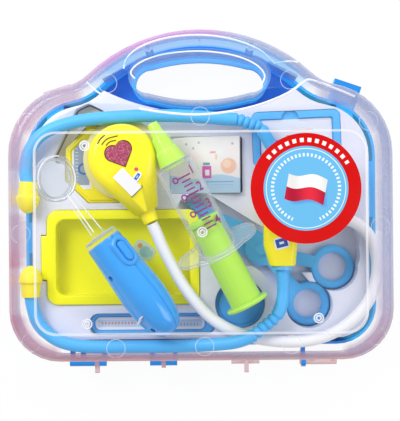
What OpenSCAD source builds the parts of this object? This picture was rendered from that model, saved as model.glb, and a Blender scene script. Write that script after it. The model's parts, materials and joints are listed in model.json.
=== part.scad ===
// A toy doctor case lying on its back: a blue base, a clear hinged lid with a
// handle through both, and a formed tray of play instruments inside.
// The lid faces +Z, the handle points to +Y and the hinges are at -Y.

/* [Case] */
// Half of the width across the lid
case_half_w = 132; // [130:0.5:136]
// Distance from the middle down to the hinge side
case_low = 107.5; // [106:0.5:110]
// Radius of the two corners at the hinge side
foot_r = 35; // [28:1:38]
// Radius of the two shoulders
shoulder_r = 48; // [44:1:50]
// Height of the shoulder centres
shoulder_y = 34.5; // [32:0.5:38]
// Radius of the arch over the handle
arch_r = 113; // [110:1:116]
// Height of the arch centre
arch_y = 7.1; // [6:0.1:9]
// Radius of the hollow between shoulder and arch
fillet_r = 30; // [26:1:34]
// Height of the base
base_h = 24; // [23:0.5:26]
// Room between the exam light and the lid
lid_room = 1.66; // [1.2:0.02:6]
// Wall of the clear lid
lid_wall = 1.6; // [1.2:0.1:2]
// Rounding of the lid's front edge
lid_edge = 7; // [5:0.5:9]
// How far the base stands inside the lid's outline
base_inset = 6.5; // [5.5:0.5:7.5]
// Wall of the base
base_wall = 1.8; // [1.4:0.1:2.2]
// Rounding of the base's back edge
base_edge = 5; // [3:0.5:7]
// Gap between base and lid along the seam
seam_gap = 0.3; // [0.2:0.05:0.5]

/* [Handle] */
// Width of the finger hole
hole_w = 94; // [88:1:98]
// Height of the finger hole
hole_h = 34; // [30:1:36]
// Radius of the ends of the finger hole
hole_end_r = 12; // [10:0.5:14]
// Height of the middle of the finger hole
hole_y = 87.8; // [86:0.1:89]
// Radius of the snap posts inside the grip
post_r = 3; // [2:0.5:3.5]
// Distance of the snap posts from the middle
post_x = 35; // [32:1:38]

/* [Hinge and latches] */
// Distance of the hinge axis outside the lid's edge
hinge_out = 5; // [4.8:0.1:5.5]
// Radius of the hinge bars
bar_r = 3; // [2.5:0.1:3.2]
// Running clearance of the bars in their ears
bar_gap = 0.06; // [0.03:0.01:0.1]
// Outer radius of the base's small ears
ear_r = 4.5; // [4.2:0.1:4.6]
// Reach of the lid's stop ears beyond the axis
ear_reach = 7.6; // [6:0.1:7.8]
// Thickness of a hinge ear
ear_t = 3; // [2:0.5:4]
// Width of the finger tabs at the shoulders
latch_w = 20; // [14:1:24]
// Reach of the base's finger tab beyond the shoulder
latch_reach = 8.5; // [5:0.5:10]

/* [Lid details] */
// Half of the width of the raised window line
window_half_w = 113.6; // [108:0.5:116]
// Upper side of the raised window line
window_top = 50; // [46:0.5:54]
// Lower side of the raised window line
window_low = 88.8; // [84:0.5:92]
// Corner radius of the window line
window_r = 15; // [10:1:20]
// Width of the window line
window_line = 1.6; // [1:0.2:2.4]
// Height of the window line above the lid
window_rise = 1.5; // [1:0.1:1.5]
// Radius of the round sticker
sticker_r = 37.7; // [30:0.1:38]
// Thickness of the sticker
sticker_t = 0.3; // [0.2:0.1:0.6]

/* [Tray] */
// Thickness of the formed sheet
sheet = 1; // [0.8:0.1:1.2]
// How far the tray stands inside the lid's outline
tray_inset = 11; // [10.5:0.5:11.5]
// Radius of the tray's hollow upper side
tray_cut_r = 153; // [148:1:158]
// Gap between an instrument and its pocket
pocket_gap = 1; // [0.8:0.1:1.4]
// Height of the shelf that most instruments lie on
shelf_z = 9.3; // [9:0.1:10]
// Height of the floor of the deep well under the scissors
well_z = 6; // [5:0.1:6.2]
// Gap under everything that lies on something else
rest_gap = 0.3; // [0.2:0.05:0.5]

/* [Dish] */
// Length of the dish
dish_w = 108; // [100:1:109]
// Width of the dish
dish_d = 66.6; // [60:0.2:68]
// Height of the dish
dish_h = 16; // [14:0.5:16]
// Width of the dish's flat rim
dish_rim = 7; // [5:0.5:9]
// Wall of the dish
dish_wall = 1.6; // [1.2:0.1:2]
// Reach of the dish's grip tab
dish_tab = 4; // [2:0.5:5]

/* [Gauge] */
// Width across the flats of the gauge body
gauge_w = 54; // [50:1:56]
// Height of the gauge body
gauge_h = 12.5; // [10:0.5:13]
// Width of the gauge's wire-like hoop
hoop_w = 6; // [4:0.5:7]
// Height of the hoop
hoop_h = 5; // [3:0.5:6]

/* [Medicine box] */
// Length of the medicine box
box_w = 49; // [44:1:50]
// Width of the medicine box
box_d = 39; // [34:1:40]
// Thickness of the medicine box
box_h = 12; // [10:0.5:12.5]
// Tilt of the box on its ridge
box_tilt = 8; // [4:1:9]

/* [Badge] */
// Length of the badge
badge_w = 62; // [56:1:63]
// Width of the badge
badge_d = 38; // [34:1:39]
// Thickness of the badge
badge_h = 3; // [2:0.5:3.4]
// Width of the badge's frame
badge_rim = 5; // [4:0.5:6]

/* [Thermometer] */
// Length of the thermometer
thermo_w = 89; // [80:1:90]
// Width of the thermometer
thermo_d = 14.5; // [12:0.5:15]
// Thickness of the thermometer
thermo_h = 6; // [4:0.5:8]

/* [Scissors] */
// Outer radius of a finger ring
ring_r = 15.9; // [14:0.1:15.9]
// Radius of the hole in a finger ring
ring_hole_r = 10.3; // [8:0.1:11]
// Thickness of the scissors at the rings
scissor_t = 5.6; // [4:0.1:5.6]
// Length of a blade from its pivot to its tip
blade_len = 65; // [55:1:66]
// Width of a blade at its root
blade_w = 13; // [10:0.5:14]
// Radius of the rivet
rivet_r = 2.5; // [2:0.1:3]
// Running clearance of the rivet
rivet_gap = 0.05; // [0.03:0.01:0.1]
// How far the blades open
scissor_swing = 30; // [20:1:30]

/* [Pill jar] */
// Radius of the jar
jar_r = 17; // [14:0.5:17]
// Height of the jar with its lid
jar_h = 10; // [8:0.5:10]
// Height of the jar's lid
jar_lid_h = 4; // [3:0.5:5]

/* [Stethoscope head] */
// Radius of the yellow head
head_r = 24; // [22:0.5:24]
// Distance from the head's middle to the end of its neck
neck_len = 41; // [38:1:42]
// Radius of the neck's end
neck_r = 8.4; // [7:0.2:9]
// Height of the parting line above the head's underside
head_part = 12; // [11:0.5:13]
// Height of the front shell above the parting line
head_front = 14.5; // [12:0.5:15]
// Wall of the head's shells
head_wall = 1.8; // [1.4:0.1:2.2]
// Outer radius of the pale ring round the head
rim_r = 28.8; // [27:0.2:29]
// Height of the pale ring
rim_h = 5.5; // [4:0.5:5.7]
// Width of the heart button
heart_w = 19; // [15:0.5:20]
// Gap round a push button
button_gap = 0.3; // [0.2:0.05:0.5]
// Travel of the heart button
heart_travel = 1.5; // [1:0.1:1.5]

/* [Tubes] */
// Diameter of the white hose
hose_d = 8.5; // [7:0.1:8.6]
// Diameter of the blue ear tubes
tube_d = 9.2; // [8:0.1:9.2]
// Diameter of the grooves between the ribs
groove_d = 6.4; // [5:0.1:7]
// Depth that a tube goes into its fitting
tube_seat = 3; // [2:0.5:4]
// Radius of the yellow ear tips
tip_r = 8.4; // [7:0.1:8.4]
// Width of the connector at its top
yoke_w = 23.4; // [20:0.2:24]
// Thickness of the connector
yoke_h = 18; // [14:0.5:18]
// Length of the connector
yoke_len = 56; // [50:1:58]

/* [Syringe] */
// Length of the syringe with its plunger out
syringe_len = 144; // [140:1:146]
// Outer radius of the barrel
barrel_r = 13.75; // [12.5:0.05:13.8]
// Wall of the barrel
barrel_wall = 1.5; // [1.2:0.1:1.8]
// Length of the nozzle in front of the barrel
nozzle_len = 31.3; // [28:0.1:33]
// Length of the barrel
barrel_len = 67; // [60:1:70]
// Width of the finger flange
flange_w = 60; // [50:1:60]
// Height of the finger flange
flange_h = 38; // [32:1:38]
// Lean of the finger flange
flange_rake = 22; // [10:1:24]
// Running clearance of the plunger in the barrel
plunger_gap = 0.08; // [0.05:0.01:0.1]
// Travel of the plunger
plunger_travel = 33; // [20:1:33]

/* [Exam light] */
// Length of the handle
light_len = 79.4; // [74:0.2:80]
// Radius of the handle's top end
light_top_r = 13.3; // [12:0.1:13.4]
// Radius of the handle's widest part
light_mid_r = 16; // [15:0.1:16.2]
// Radius of the handle's lower end
light_end_r = 10; // [9:0.1:11]
// Half of the thickness at the widest part
light_half_t = 14.5; // [13:0.1:14.6]
// Wall of the handle's shells
light_wall = 1.8; // [1.4:0.1:2.2]
// Length of the clear stem
stem_len = 37; // [34:0.5:38]
// Radius of the clear mirror ring
mirror_r = 16.2; // [14:0.1:16.4]
// Tilt of the mirror ring
mirror_tilt = 40; // [30:1:45]
// Travel of the light's button
light_travel = 1.2; // [0.8:0.1:1.2]

/* [Hidden] */
$fn = 64;

// ---- Places and sizes worked out from the dimensions above ----
foot_x = case_half_w - foot_r;
foot_y = foot_r - case_low;
shoulder_x = case_half_w - shoulder_r;
// The hollow's centre lies at known distances from the shoulder and arch centres
center_gap = norm([shoulder_x, shoulder_y - arch_y]);
to_arch = arch_r + fillet_r;
to_shoulder = shoulder_r + fillet_r;
fillet_along = (pow(to_arch, 2) - pow(to_shoulder, 2) + pow(center_gap, 2)) / (2 * center_gap);
fillet_across = sqrt(pow(to_arch, 2) - pow(fillet_along, 2));
center_dir = [shoulder_x, shoulder_y - arch_y] / center_gap;
fillet_x = fillet_along * center_dir.x - fillet_across * center_dir.y;
fillet_y = arch_y + fillet_along * center_dir.y + fillet_across * center_dir.x;
shoulder_angle = atan2(fillet_y - shoulder_y, fillet_x - shoulder_x);
arch_angle = atan2(fillet_y - arch_y, fillet_x);

seam_z = base_h + seam_gap;
// The outer bars end just inside the corners
bar_left = -foot_x + 2.4;
bar_right = foot_x - 26.8;
hinge_y = -case_low - hinge_out;
hinge_z = base_h + seam_gap / 2;
tray_top = base_h;
top_z = tray_top + rest_gap;
shelf_top = shelf_z + rest_gap;
tray_cut_y = 219;
sticker_at = [71.7, 10.1];

dish_at = [-56, -37.4];
dish_r = 8;
dish_z = shelf_top;
gauge_at = [-69.5, 29.5];
dial_at = [-16, 0];
dial_w = 13.6;
dial_d = 35.6;
hoop_corners = [[-101.5, 34], [-86, 66.2], [-80, 69], [-72, 65]];
box_at = [4, 28.3];
box_lean = box_h * sin(box_tilt);
box_span = box_w * cos(box_tilt) + box_lean;
badge_at = [69.4, 47];
badge_turn = 2;
thermo_at = [-35.5, -86];
jar_at = [27.8, -71.7];

pivot_at = [44.3, -33.1];
ring_a_at = [95.8, -46.3];
ring_b_at = [77.6, -72.9];
blade_turn = 148;
ring_a_turn = atan2(ring_a_at.y - pivot_at.y, ring_a_at.x - pivot_at.x);
ring_b_turn = atan2(ring_b_at.y - pivot_at.y, ring_b_at.x - pivot_at.x);
scissor_z = well_z + rest_gap;
lap_gap = 0.3;
lap_t = (scissor_t - lap_gap) / 2;
lap_r = 12;

head_at = [-54.8, 32.8];
head_turn = -66;
head_round = 7;
heart_side = heart_w / 1.707;
hose_r = hose_d / 2;
tube_r = tube_d / 2;
neck_z = top_z + head_part;
ferrule_len = 8;
ferrule_r = 6;
neck_dir = [cos(head_turn), sin(head_turn)];
hose_start = head_at + (neck_len + ferrule_len) * neck_dir;

yoke_at = [56, 12];
yoke_z = top_z + yoke_h / 2;
yoke_end_w = 18;
lower_mouth = [yoke_at.x + 1.5, yoke_at.y - yoke_len];

syringe_at = [-33.4, 56.7];
syringe_turn = -62.6;
syringe_tilt = 2;
flange_x = nozzle_len + barrel_len;
flange_t = 2.5;
flange_z = top_z + flange_h / 2 * cos(flange_rake) + flange_t / 2 * sin(flange_rake);
syringe_z = flange_z + flange_x * sin(syringe_tilt);
bore_r = barrel_r - barrel_wall;
disc_t = 3;
disc_r = 15.8;

light_at = [-68.2, -25.6];
light_turn = -53.6;
light_roll = 50;
light_round = 12;
light_low = (light_mid_r - light_round) * sin(light_roll) + (light_half_t - light_round) * cos(light_roll)
    + light_round;
light_z = dish_z + dish_h + rest_gap + light_low;
lid_in_z = light_z + light_low + lid_room;
case_h = lid_in_z + lid_wall;
light_mid_x = 46;
light_button_x = 14;
screw_posts = [[24, 13], [70, 7.6]];
cells_x = 36;
collar_len = 5;
cell_r = 5.8;
cell_t = 5.4;

// Routes: round numbers chosen by hand, heights included
hose_route = [
    [-34.6, -13, 36], [-31.5, -20, 35], [-27, -31, 33.2], [-21, -43, 31.4], [-14.5, -55, 30.8],
    [-7, -66, 30.7], [1, -75.5, 29.8], [10, -83.5, 29], [20, -89.5, 28.7], [32, -94, 28.7],
    [45, -97, 28.8], [60, -98.5, 28.8], [75, -98, 28.9], [89, -94.5, 29], [101.5, -88, 29],
    [112, -79, 29.2], [119.5, -69, 29.4], [124, -57, 29.6], [125.5, -45, 29.9], [124, -33.5, 30.3],
    [119.5, -23, 30.9], [112, -15.5, 31.6], [102, -11, 32.3], [92, -9, 32.8], [80, -8, 33.2],
    [68.5, -8, 33.3]
];
upper_route = [
    [-122.3, 14, 32.8], [-124, 22, 32.9], [-123.8, 30, 33], [-121.5, 38, 33.2], [-116, 46.5, 33.5],
    [-107, 53.4, 34], [-90, 58.8, 34.6], [-72, 61.3, 34.9], [-50, 62.6, 34.9], [-36, 63, 34.6],
    [-18, 62.9, 34], [0, 62, 33.4], [19, 60.3, 33], [26, 60, 32.9]
];
upper_ribs = [[27, 59.9, 32.9], [43, 54, 32.8]];
upper_tail = [[44, 52.5, 32.8], [50, 42, 32.9], [55.5, 32, 33.1], [57, 22, 33.3], [57, 10, 33.3]];
lower_tail = [
    [57.5, -43, 33.3], [58, -51, 33.4], [58.3, -58, 33.6], [57.8, -66, 34.3], [56, -73.5, 35.2], [53.2, -79, 36]
];
lower_ribs = [[52.2, -80.4, 36.2], [37.4, -91.8, 38.3]];
lower_route = [
    [36.4, -92.5, 38.4], [30, -95.5, 38.3], [22, -97.8, 37], [12, -99.3, 33.6], [2, -100.2, 30.6],
    [-8, -100.8, 29.2], [-20, -101, 29], [-36, -101.1, 29], [-54, -101.1, 29], [-72, -101, 29],
    [-86, -100.3, 29], [-98, -98, 29], [-107, -93.5, 29.1], [-114, -86.5, 29.8],
    [-118.3, -78.5, 31], [-120.6, -69, 32.2], [-121.2, -62, 32.8]
];
rib_count = 4;
tube_sides = 12;
hose_sides = 10;

// ---- Plain shapes ----
module round_rect(w, d, r) {
    square([w - 2 * r, d], center = true);
    square([w, d - 2 * r], center = true);
    for (x = [-1, 1], y = [-1, 1])
        translate([x * (w / 2 - r), y * (d / 2 - r)]) circle(r = r);
}

// An oval of four arcs: width, height and the radius of its ends
module oval(w, h, r) {
    end_x = w / 2 - r;
    side = (pow(end_x, 2) + pow(r, 2) - pow(h / 2, 2)) / (h - 2 * r);
    big_r = side + h / 2;
    meet_x = big_r * end_x / norm([end_x, side]);
    intersection() {
        translate([0, -side]) circle(r = big_r);
        translate([0, side]) circle(r = big_r);
        square([2 * meet_x, h], center = true);
    }
    for (s = [-1, 1]) translate([s * end_x, 0]) circle(r = r);
}

module heart(side) {
    rotate(45) square(side, center = true);
    for (s = [-1, 1])
        translate([s, 1] * side / sqrt(8)) circle(d = side);
}

// Points of the case's plan drawn in by d, in turn round the outline
function arc_points(at, r, from, to, n) = [for (i = [0:n]) at + r * [cos(from + (to - from) * i / n), sin(from + (to - from) * i / n)]];
function inner_points(list) = [for (i = [1:len(list) - 2]) list[i]];
function right_points(d) = concat(
    arc_points([foot_x, foot_y], foot_r - d, -90, 0, 8),
    arc_points([shoulder_x, shoulder_y], shoulder_r - d, 0, shoulder_angle, 9),
    inner_points(arc_points([fillet_x, fillet_y], fillet_r + d, shoulder_angle - 180, arch_angle - 180, 4)),
    arc_points([0, arch_y], arch_r - d, arch_angle, 90, 8));
function case_points(d) = let (right = right_points(d), n = len(right))
    concat(right, [for (i = [n - 2:-1:0]) [-right[i].x, right[i].y]]);

module case_plan(d) {
    polygon(case_points(d));
}

// A solid through the plan drawn in by different amounts: steps of [inset, height]
module case_loft(steps) {
    rings = [for (s = steps) [for (p = case_points(s[0])) [p.x, p.y, s[1]]]];
    n = len(rings[0]);
    top = (len(steps) - 1) * n;
    walls = [for (i = [0:len(steps) - 2], k = [0:n - 1])
        [i * n + k, (i + 1) * n + k, (i + 1) * n + (k + 1) % n, i * n + (k + 1) % n]];
    polyhedron([for (r = rings) each r], concat(walls,
        [[for (k = [0:n - 1]) k], [for (k = [n - 1:-1:0]) top + k]]), convexity = 4);
}

// Steps round a quarter circle of radius r that ends flat at height z
function edge_steps(d, r, z, n = 5) = [for (i = [0:n]) [d + r - r * cos(90 * i / n), z - r + r * sin(90 * i / n)]];
function turned_over(list, z) = [for (i = [len(list) - 1:-1:0]) [list[i][0], z - list[i][1]]];

module finger_hole(grow) {
    translate([0, hole_y]) oval(hole_w + 2 * grow, hole_h + 2 * grow, hole_end_r + grow);
}

// A tube swept along points with a radius at each point
function flat(list) = [for (part = list) each part];
function unit(v) = v / norm(v);
function heading(p, i) = unit(p[min(i + 1, len(p) - 1)] - p[max(i - 1, 0)]);
function ring_points(c, dir, r, sides) =
    let (side = unit(cross([0, 0, 1], dir)), up = cross(dir, side))
    [for (k = [0:sides - 1]) c + r * (cos(360 * k / sides) * side + sin(360 * k / sides) * up)];
module swept(path, radii, sides) {
    n = len(path);
    points = flat([for (i = [0:n - 1]) ring_points(path[i], heading(path, i), radii[i], sides)]);
    walls = [for (i = [0:n - 2], k = [0:sides - 1]) let (
        a = i * sides + k, b = i * sides + (k + 1) % sides) each [[a, b, b + sides], [a, b + sides, a + sides]]];
    ends = [[for (k = [0:sides - 1]) sides - 1 - k], [for (k = [0:sides - 1]) (n - 1) * sides + k]];
    polyhedron(points, concat([for (f = walls) [f[2], f[1], f[0]]],
        [for (f = ends) [for (k = [0:sides - 1]) f[sides - 1 - k]]]));
}
// A smooth curve through points, cut into steps between each two
function curve_point(a, b, c, d, t) = 0.5 * (2 * b + t * (c - a)
    + t * t * (2 * a - 5 * b + 4 * c - d) + t * t * t * (3 * b - a - 3 * c + d));
function curve(p, steps) = let (n = len(p)) concat(
    [for (i = [0:n - 2], k = [0:steps - 1]) curve_point(
        p[max(i - 1, 0)], p[i], p[i + 1], p[min(i + 2, n - 1)], k / steps)], [p[n - 1]]);
function all_of(list, value) = [for (x = list) value];
rib_steps = [0, 0.3, 0.7, 1];
function rib_path(ends) = [for (i = [0:rib_count - 1], s = rib_steps)
    ends[0] + (ends[1] - ends[0]) * (i + 0.08 + 0.84 * s) / rib_count];
function rib_radii() = [for (i = [0:rib_count - 1], s = rib_steps) s > 0.2 && s < 0.8 ? tube_r : groove_d / 2];

// A solid turned about the X axis from a profile of [x, radius] points
module turned_x(profile) {
    rotate([0, 90, 0]) rotate_extrude() polygon([for (p = profile) [p[1], p[0]]]);
}

// ---- Case ----
// A bar of the hinge, lying along X
module hinge_bar(from, to, r) {
    translate([from, hinge_y, hinge_z]) rotate([0, 90, 0]) cylinder(r = r, h = to - from);
}

module lid_hinges() {
    wall_y = -case_low + lid_wall / 2;
    left_ear = bar_left + 18.1;
    // Wide ear round the base's left bar, reaching down as the opening stop
    difference() {
        union() {
            hinge_bar(left_ear, left_ear + ear_t, bar_r + 1.6);
            translate([left_ear, hinge_y, hinge_z]) cube([ear_t, wall_y - hinge_y, bar_r + 4]);
            translate([left_ear, hinge_y - ear_reach, hinge_z - 1.5]) cube([ear_t, ear_reach, 4]);
        }
        hinge_bar(left_ear - 0.5, left_ear + 0.5 + ear_t, bar_r + bar_gap);
    }
    // Narrow ear round the base's second bar
    difference() {
        union() {
            hinge_bar(-29, -29 + ear_t, bar_r + 1.6);
            translate([-29, hinge_y, hinge_z]) cube([ear_t, wall_y - hinge_y, bar_r + 4]);
        }
        hinge_bar(-30, -28 + ear_t, bar_r + bar_gap);
    }
    // Stop tab in the middle
    translate([21, hinge_y - 1.5, hinge_z + 1]) cube([20, wall_y - hinge_y + 1.5, 3]);
    translate([30.3, hinge_y - ear_reach, hinge_z + 1]) cube([ear_t, wall_y - hinge_y + ear_reach, 4]);
    // Bar that the base's right ear holds
    hinge_bar(bar_right, bar_right + 26.2, bar_r);
    for (x = [bar_right + 6.8, bar_right + 21.8]) translate([x, hinge_y, hinge_z]) cube([ear_t, wall_y - hinge_y, bar_r + 2]);
}

// Where the lid's seam flange can rest on the base without meeting the tubes
module seam_flange_plan() {
    difference() {
        case_plan(lid_wall / 2);
        case_plan(base_inset + 1.1);
        translate([-case_half_w, -case_low - 10]) square([2 * case_half_w, case_low - 10]);
        translate([-case_half_w, -20]) square([case_half_w, 75]);
    }
    intersection() {
        difference() {
            case_plan(lid_wall / 2);
            case_plan(base_inset + 1.1);
        }
        translate([-case_half_w, -37]) square([20, 26]);
    }
}

module lid_shell() {
    color([0.85, 0.88, 0.95, 0.4]) {
        difference() {
            union() {
                difference() {
                    case_loft(concat([[0, seam_z]], edge_steps(0, lid_edge, case_h)));
                    case_loft(concat([[lid_wall, seam_z - 1]], edge_steps(lid_wall, lid_edge - lid_wall, lid_in_z)));
                }
                translate([0, 0, seam_z]) linear_extrude(lid_wall) seam_flange_plan();
                translate([0, 0, seam_z]) linear_extrude(lid_in_z - seam_z + 0.5) finger_hole(lid_wall);
            }
            translate([0, 0, seam_z - 1]) linear_extrude(case_h) finger_hole(0);
            translate([0, 0, case_h - 1]) linear_extrude(case_h) finger_hole(1);
        }
        // Raised line round the window
        translate([0, (window_top - window_low) / 2, case_h]) linear_extrude(window_rise) difference() {
            round_rect(2 * window_half_w, window_top + window_low, window_r);
            round_rect(2 * (window_half_w - window_line), window_top + window_low - 2 * window_line,
                window_r - window_line);
        }
        // Snap posts and the middle rib of the grip
        grip_y = hole_y + hole_h / 2 + 7.2;
        for (s = [-1, 1]) translate([s * post_x, grip_y - 5, seam_z]) cylinder(r = post_r, h = lid_in_z - seam_z + 0.5);
        translate([-0.8, hole_y + hole_h / 2 + 1, seam_z + 12])
            cube([1.6, arch_y + arch_r - hole_y - hole_h / 2 - 8, lid_in_z - seam_z - 11.5]);
        // Diagonal ribs at the feet of the arch
        for (s = [-1, 1]) translate([s * (fillet_x - 41), 91.5, seam_z + 10]) rotate([0, 0, s * -26])
            translate([-11, -0.9, 0]) cube([22, 1.8, lid_in_z - seam_z - 9.5]);
        // Finger tab at the left shoulder
        translate([-shoulder_x - 16, shoulder_y + 44.5, seam_z]) rotate([0, 0, 17]) translate([-latch_w / 2, 0, 0])
            cube([latch_w, 4.4, 9]);
        lid_hinges();
    }
}

module lid_sticker() {
    color([0.88, 0.1, 0.08]) translate([sticker_at.x, sticker_at.y, case_h]) cylinder(r = sticker_r, h = sticker_t, $fn = 96);
}

module base_hinges() {
    wall_y = -case_low + base_inset + base_wall / 2;
    bracket_h = 8;
    hinge_bar(bar_left, bar_left + 26.1, bar_r);
    hinge_bar(-37.2, -17.8, bar_r);
    for (x = [bar_left, bar_left + 7.6, bar_left + 23.1, -37.2, -20.8])
        translate([x, hinge_y, hinge_z - bracket_h]) cube([ear_t, wall_y - hinge_y, bracket_h - 0.3]);
    // Ear that holds the lid's right bar
    difference() {
        union() {
            hinge_bar(bar_right + 1, bar_right + 1 + ear_t, ear_r);
            translate([bar_right + 1, hinge_y, hinge_z - bracket_h]) cube([ear_t, wall_y - hinge_y, bracket_h - 0.3]);
        }
        hinge_bar(bar_right - 0.2, bar_right + 2.3 + ear_t, bar_r + bar_gap);
    }
}

// Short ledges inside the base wall that carry the tray's edge
module ledge_plan() {
    intersection() {
        difference() {
            case_plan(base_inset + base_wall / 2);
            case_plan(tray_inset + 1.5);
        }
        union() {
            translate([-case_half_w, -34]) square([20, 22]);
            translate([case_half_w - 20, -10]) square([20, 40]);
            translate([44, -case_low]) square([10, 20]);
            translate([-112, -case_low]) square([12, 20]);
            for (s = [-1, 1]) translate([s * 104 - 6, 50]) square([12, 30]);
        }
    }
}

module base_shell() {
    color([0.2, 0.5, 0.85]) {
        difference() {
            union() {
                difference() {
                    case_loft(concat(turned_over(edge_steps(base_inset, base_edge, 0), 0), [[base_inset, base_h]]));
                    case_loft(concat(turned_over(edge_steps(base_inset + base_wall, base_edge - base_wall, -base_wall), 0),
                        [[base_inset + base_wall, base_h + 1]]));
                }
                linear_extrude(base_h) finger_hole(base_wall);
                // Curved wall under the tray's upper side
                linear_extrude(tray_top - sheet) intersection() {
                    case_plan(base_inset + base_edge);
                    difference() {
                        translate([0, tray_cut_y]) circle(r = tray_cut_r + 2.8, $fn = 180);
                        translate([0, tray_cut_y]) circle(r = tray_cut_r + 1, $fn = 180);
                    }
                }
            }
            translate([0, 0, -1]) linear_extrude(base_h + 2) finger_hole(0);
        }
        translate([0, 0, tray_top - sheet - 2]) linear_extrude(2) ledge_plan();
        // Finger tab at the right shoulder
        translate([shoulder_x + 17, shoulder_y + 35, 14]) rotate([0, 0, -19]) translate([-latch_w / 2, 0, 0])
            cube([latch_w, base_inset + 3 + latch_reach, base_h - 14]);
        base_hinges();
    }
}

// ---- Tray ----
pocket_count = 8;
pocket_floor = [shelf_z, shelf_z, shelf_z, tray_top - badge_h - 0.6, shelf_z, shelf_z, well_z, shelf_z];

module pocket_plan(i, grow) {
    g = pocket_gap + grow;
    if (i == 0) {
        translate(dish_at) round_rect(dish_w + 2 * g, dish_d + 2 * g, dish_r + g);
        translate(dish_at - [dish_w / 2 + dish_tab - 6, 0]) square([12 + 2 * g, 31 + 2 * g], center = true);
    }
    if (i == 1) translate(gauge_at) rotate(22.5) circle(r = (gauge_w / 2 + g) / cos(22.5), $fn = 8);
    if (i == 2) translate(box_at) round_rect(box_span + 2 * g, box_d + 2 * g, 1 + g);
    if (i == 3) translate(badge_at) rotate(badge_turn) round_rect(badge_w + 2 * g, badge_d + 2 * g, 4 + g);
    if (i == 4) translate(thermo_at) round_rect(thermo_w + 2 * g, thermo_d + 2 * g, thermo_d / 2 - 1 + g);
    if (i == 5) translate(jar_at) circle(r = jar_r + g);
    if (i == 6) scissor_well(g);
    if (i == 7) for (k = [0:len(hoop_corners) - 2]) hull() {
        translate(hoop_corners[k]) circle(r = hoop_w / 2 + g);
        translate(hoop_corners[k + 1]) circle(r = hoop_w / 2 + g);
    }
}

// The space that the scissors need, closed and open
module scissor_well(g) {
    reach = blade_len + 3 + g;
    sweep = scissor_swing + 6;
    middle = blade_turn + sweep / 2;
    ring_a_reach = norm(ring_a_at - pivot_at);
    translate(pivot_at) {
        rotate(blade_turn) translate([-30, -blade_w - g]) square([30 + blade_len + g, 2 * (blade_w + g)]);
        polygon(concat([-2 * g * [cos(middle), sin(middle)]],
            [for (k = [0:6]) reach * [cos(blade_turn + k * sweep / 6), sin(blade_turn + k * sweep / 6)]]));
        // Back of the blade that swings
        rotate(blade_turn + scissor_swing) polygon([[0, 0], [0, blade_w * 0.8 + 1 + g],
            [22, blade_w * 0.8 + g], [blade_len, 6 + g], [blade_len, 0]]);
        rotate(ring_a_turn + scissor_swing / 2) translate([0, -16 - g]) square([ring_a_reach, 32 + 2 * g]);
        rotate(ring_b_turn) translate([0, -10 - g]) square([norm(ring_b_at - pivot_at), 20 + 2 * g]);
        for (k = [0:3]) rotate(ring_a_turn + k * scissor_swing / 3) translate([ring_a_reach, 0]) circle(r = ring_r + g);
    }
    translate(ring_b_at) circle(r = ring_r + g);
}

module tray_plan() {
    difference() {
        case_plan(tray_inset);
        translate([0, tray_cut_y]) circle(r = tray_cut_r, $fn = 180);
    }
}

module insert_tray() {
    color([0.87, 0.88, 0.93]) {
        difference() {
            union() {
                translate([0, 0, tray_top - sheet]) linear_extrude(sheet) tray_plan();
                for (i = [0:pocket_count - 1]) translate([0, 0, pocket_floor[i] - sheet])
                    linear_extrude(tray_top - pocket_floor[i] + sheet) pocket_plan(i, sheet);
            }
            for (i = [0:pocket_count - 1]) translate([0, 0, pocket_floor[i]])
                linear_extrude(base_h) pocket_plan(i, 0);
        }
    }
}

// ---- Lower instruments ----
module dish() {
    color([0.95, 0.93, 0.1]) translate([dish_at.x, dish_at.y, dish_z]) {
        difference() {
            union() {
                linear_extrude(dish_h - 2) round_rect(dish_w - 2 * dish_rim + 4, dish_d - 2 * dish_rim + 4, dish_r);
                translate([0, 0, dish_h - 2]) linear_extrude(2) round_rect(dish_w, dish_d, dish_r);
                translate([-dish_w / 2 - dish_tab, -15.5, dish_h - 3.5]) cube([dish_tab + 4, 31, 3.5]);
            }
            translate([0, 0, dish_wall]) linear_extrude(dish_h)
                round_rect(dish_w - 2 * dish_rim + 4 - 2 * dish_wall, dish_d - 2 * dish_rim + 4 - 2 * dish_wall,
                    dish_r - dish_wall);
        }
    }
}

module gauge_body() {
    color([0.98, 0.92, 0.2]) translate([gauge_at.x, gauge_at.y, shelf_top]) difference() {
        rotate(22.5) union() {
            cylinder(r = gauge_w / 2 / cos(22.5), h = gauge_h - 2, $fn = 8);
            translate([0, 0, gauge_h - 2]) cylinder(r = (gauge_w / 2 - 2) / cos(22.5), h = 2, $fn = 8);
        }
        translate([0, 0, gauge_h - 1]) linear_extrude(2) dial_plan(0.2);
    }
}

// The dial's field, cut off at the octagon's corners
module dial_plan(grow) {
    intersection() {
        translate(dial_at) square([dial_w + 2 * grow, dial_d + 2 * grow], center = true);
        rotate(22.5) circle(r = (gauge_w / 2 - 4 + grow) / cos(22.5), $fn = 8);
    }
}

module gauge_dial() {
    color([0.92, 0.93, 0.95]) translate([gauge_at.x, gauge_at.y, shelf_top + gauge_h - 1])
        linear_extrude(0.5) dial_plan(0);
}

module gauge_hoop() {
    color([0.75, 0.74, 0.62]) translate([0, 0, shelf_top]) linear_extrude(hoop_h) difference() {
        for (k = [0:len(hoop_corners) - 2]) hull() {
            translate(hoop_corners[k]) circle(r = hoop_w / 2);
            translate(hoop_corners[k + 1]) circle(r = hoop_w / 2);
        }
        translate(gauge_at) rotate(22.5) circle(r = gauge_w / 2 / cos(22.5), $fn = 8);
    }
}

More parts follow.
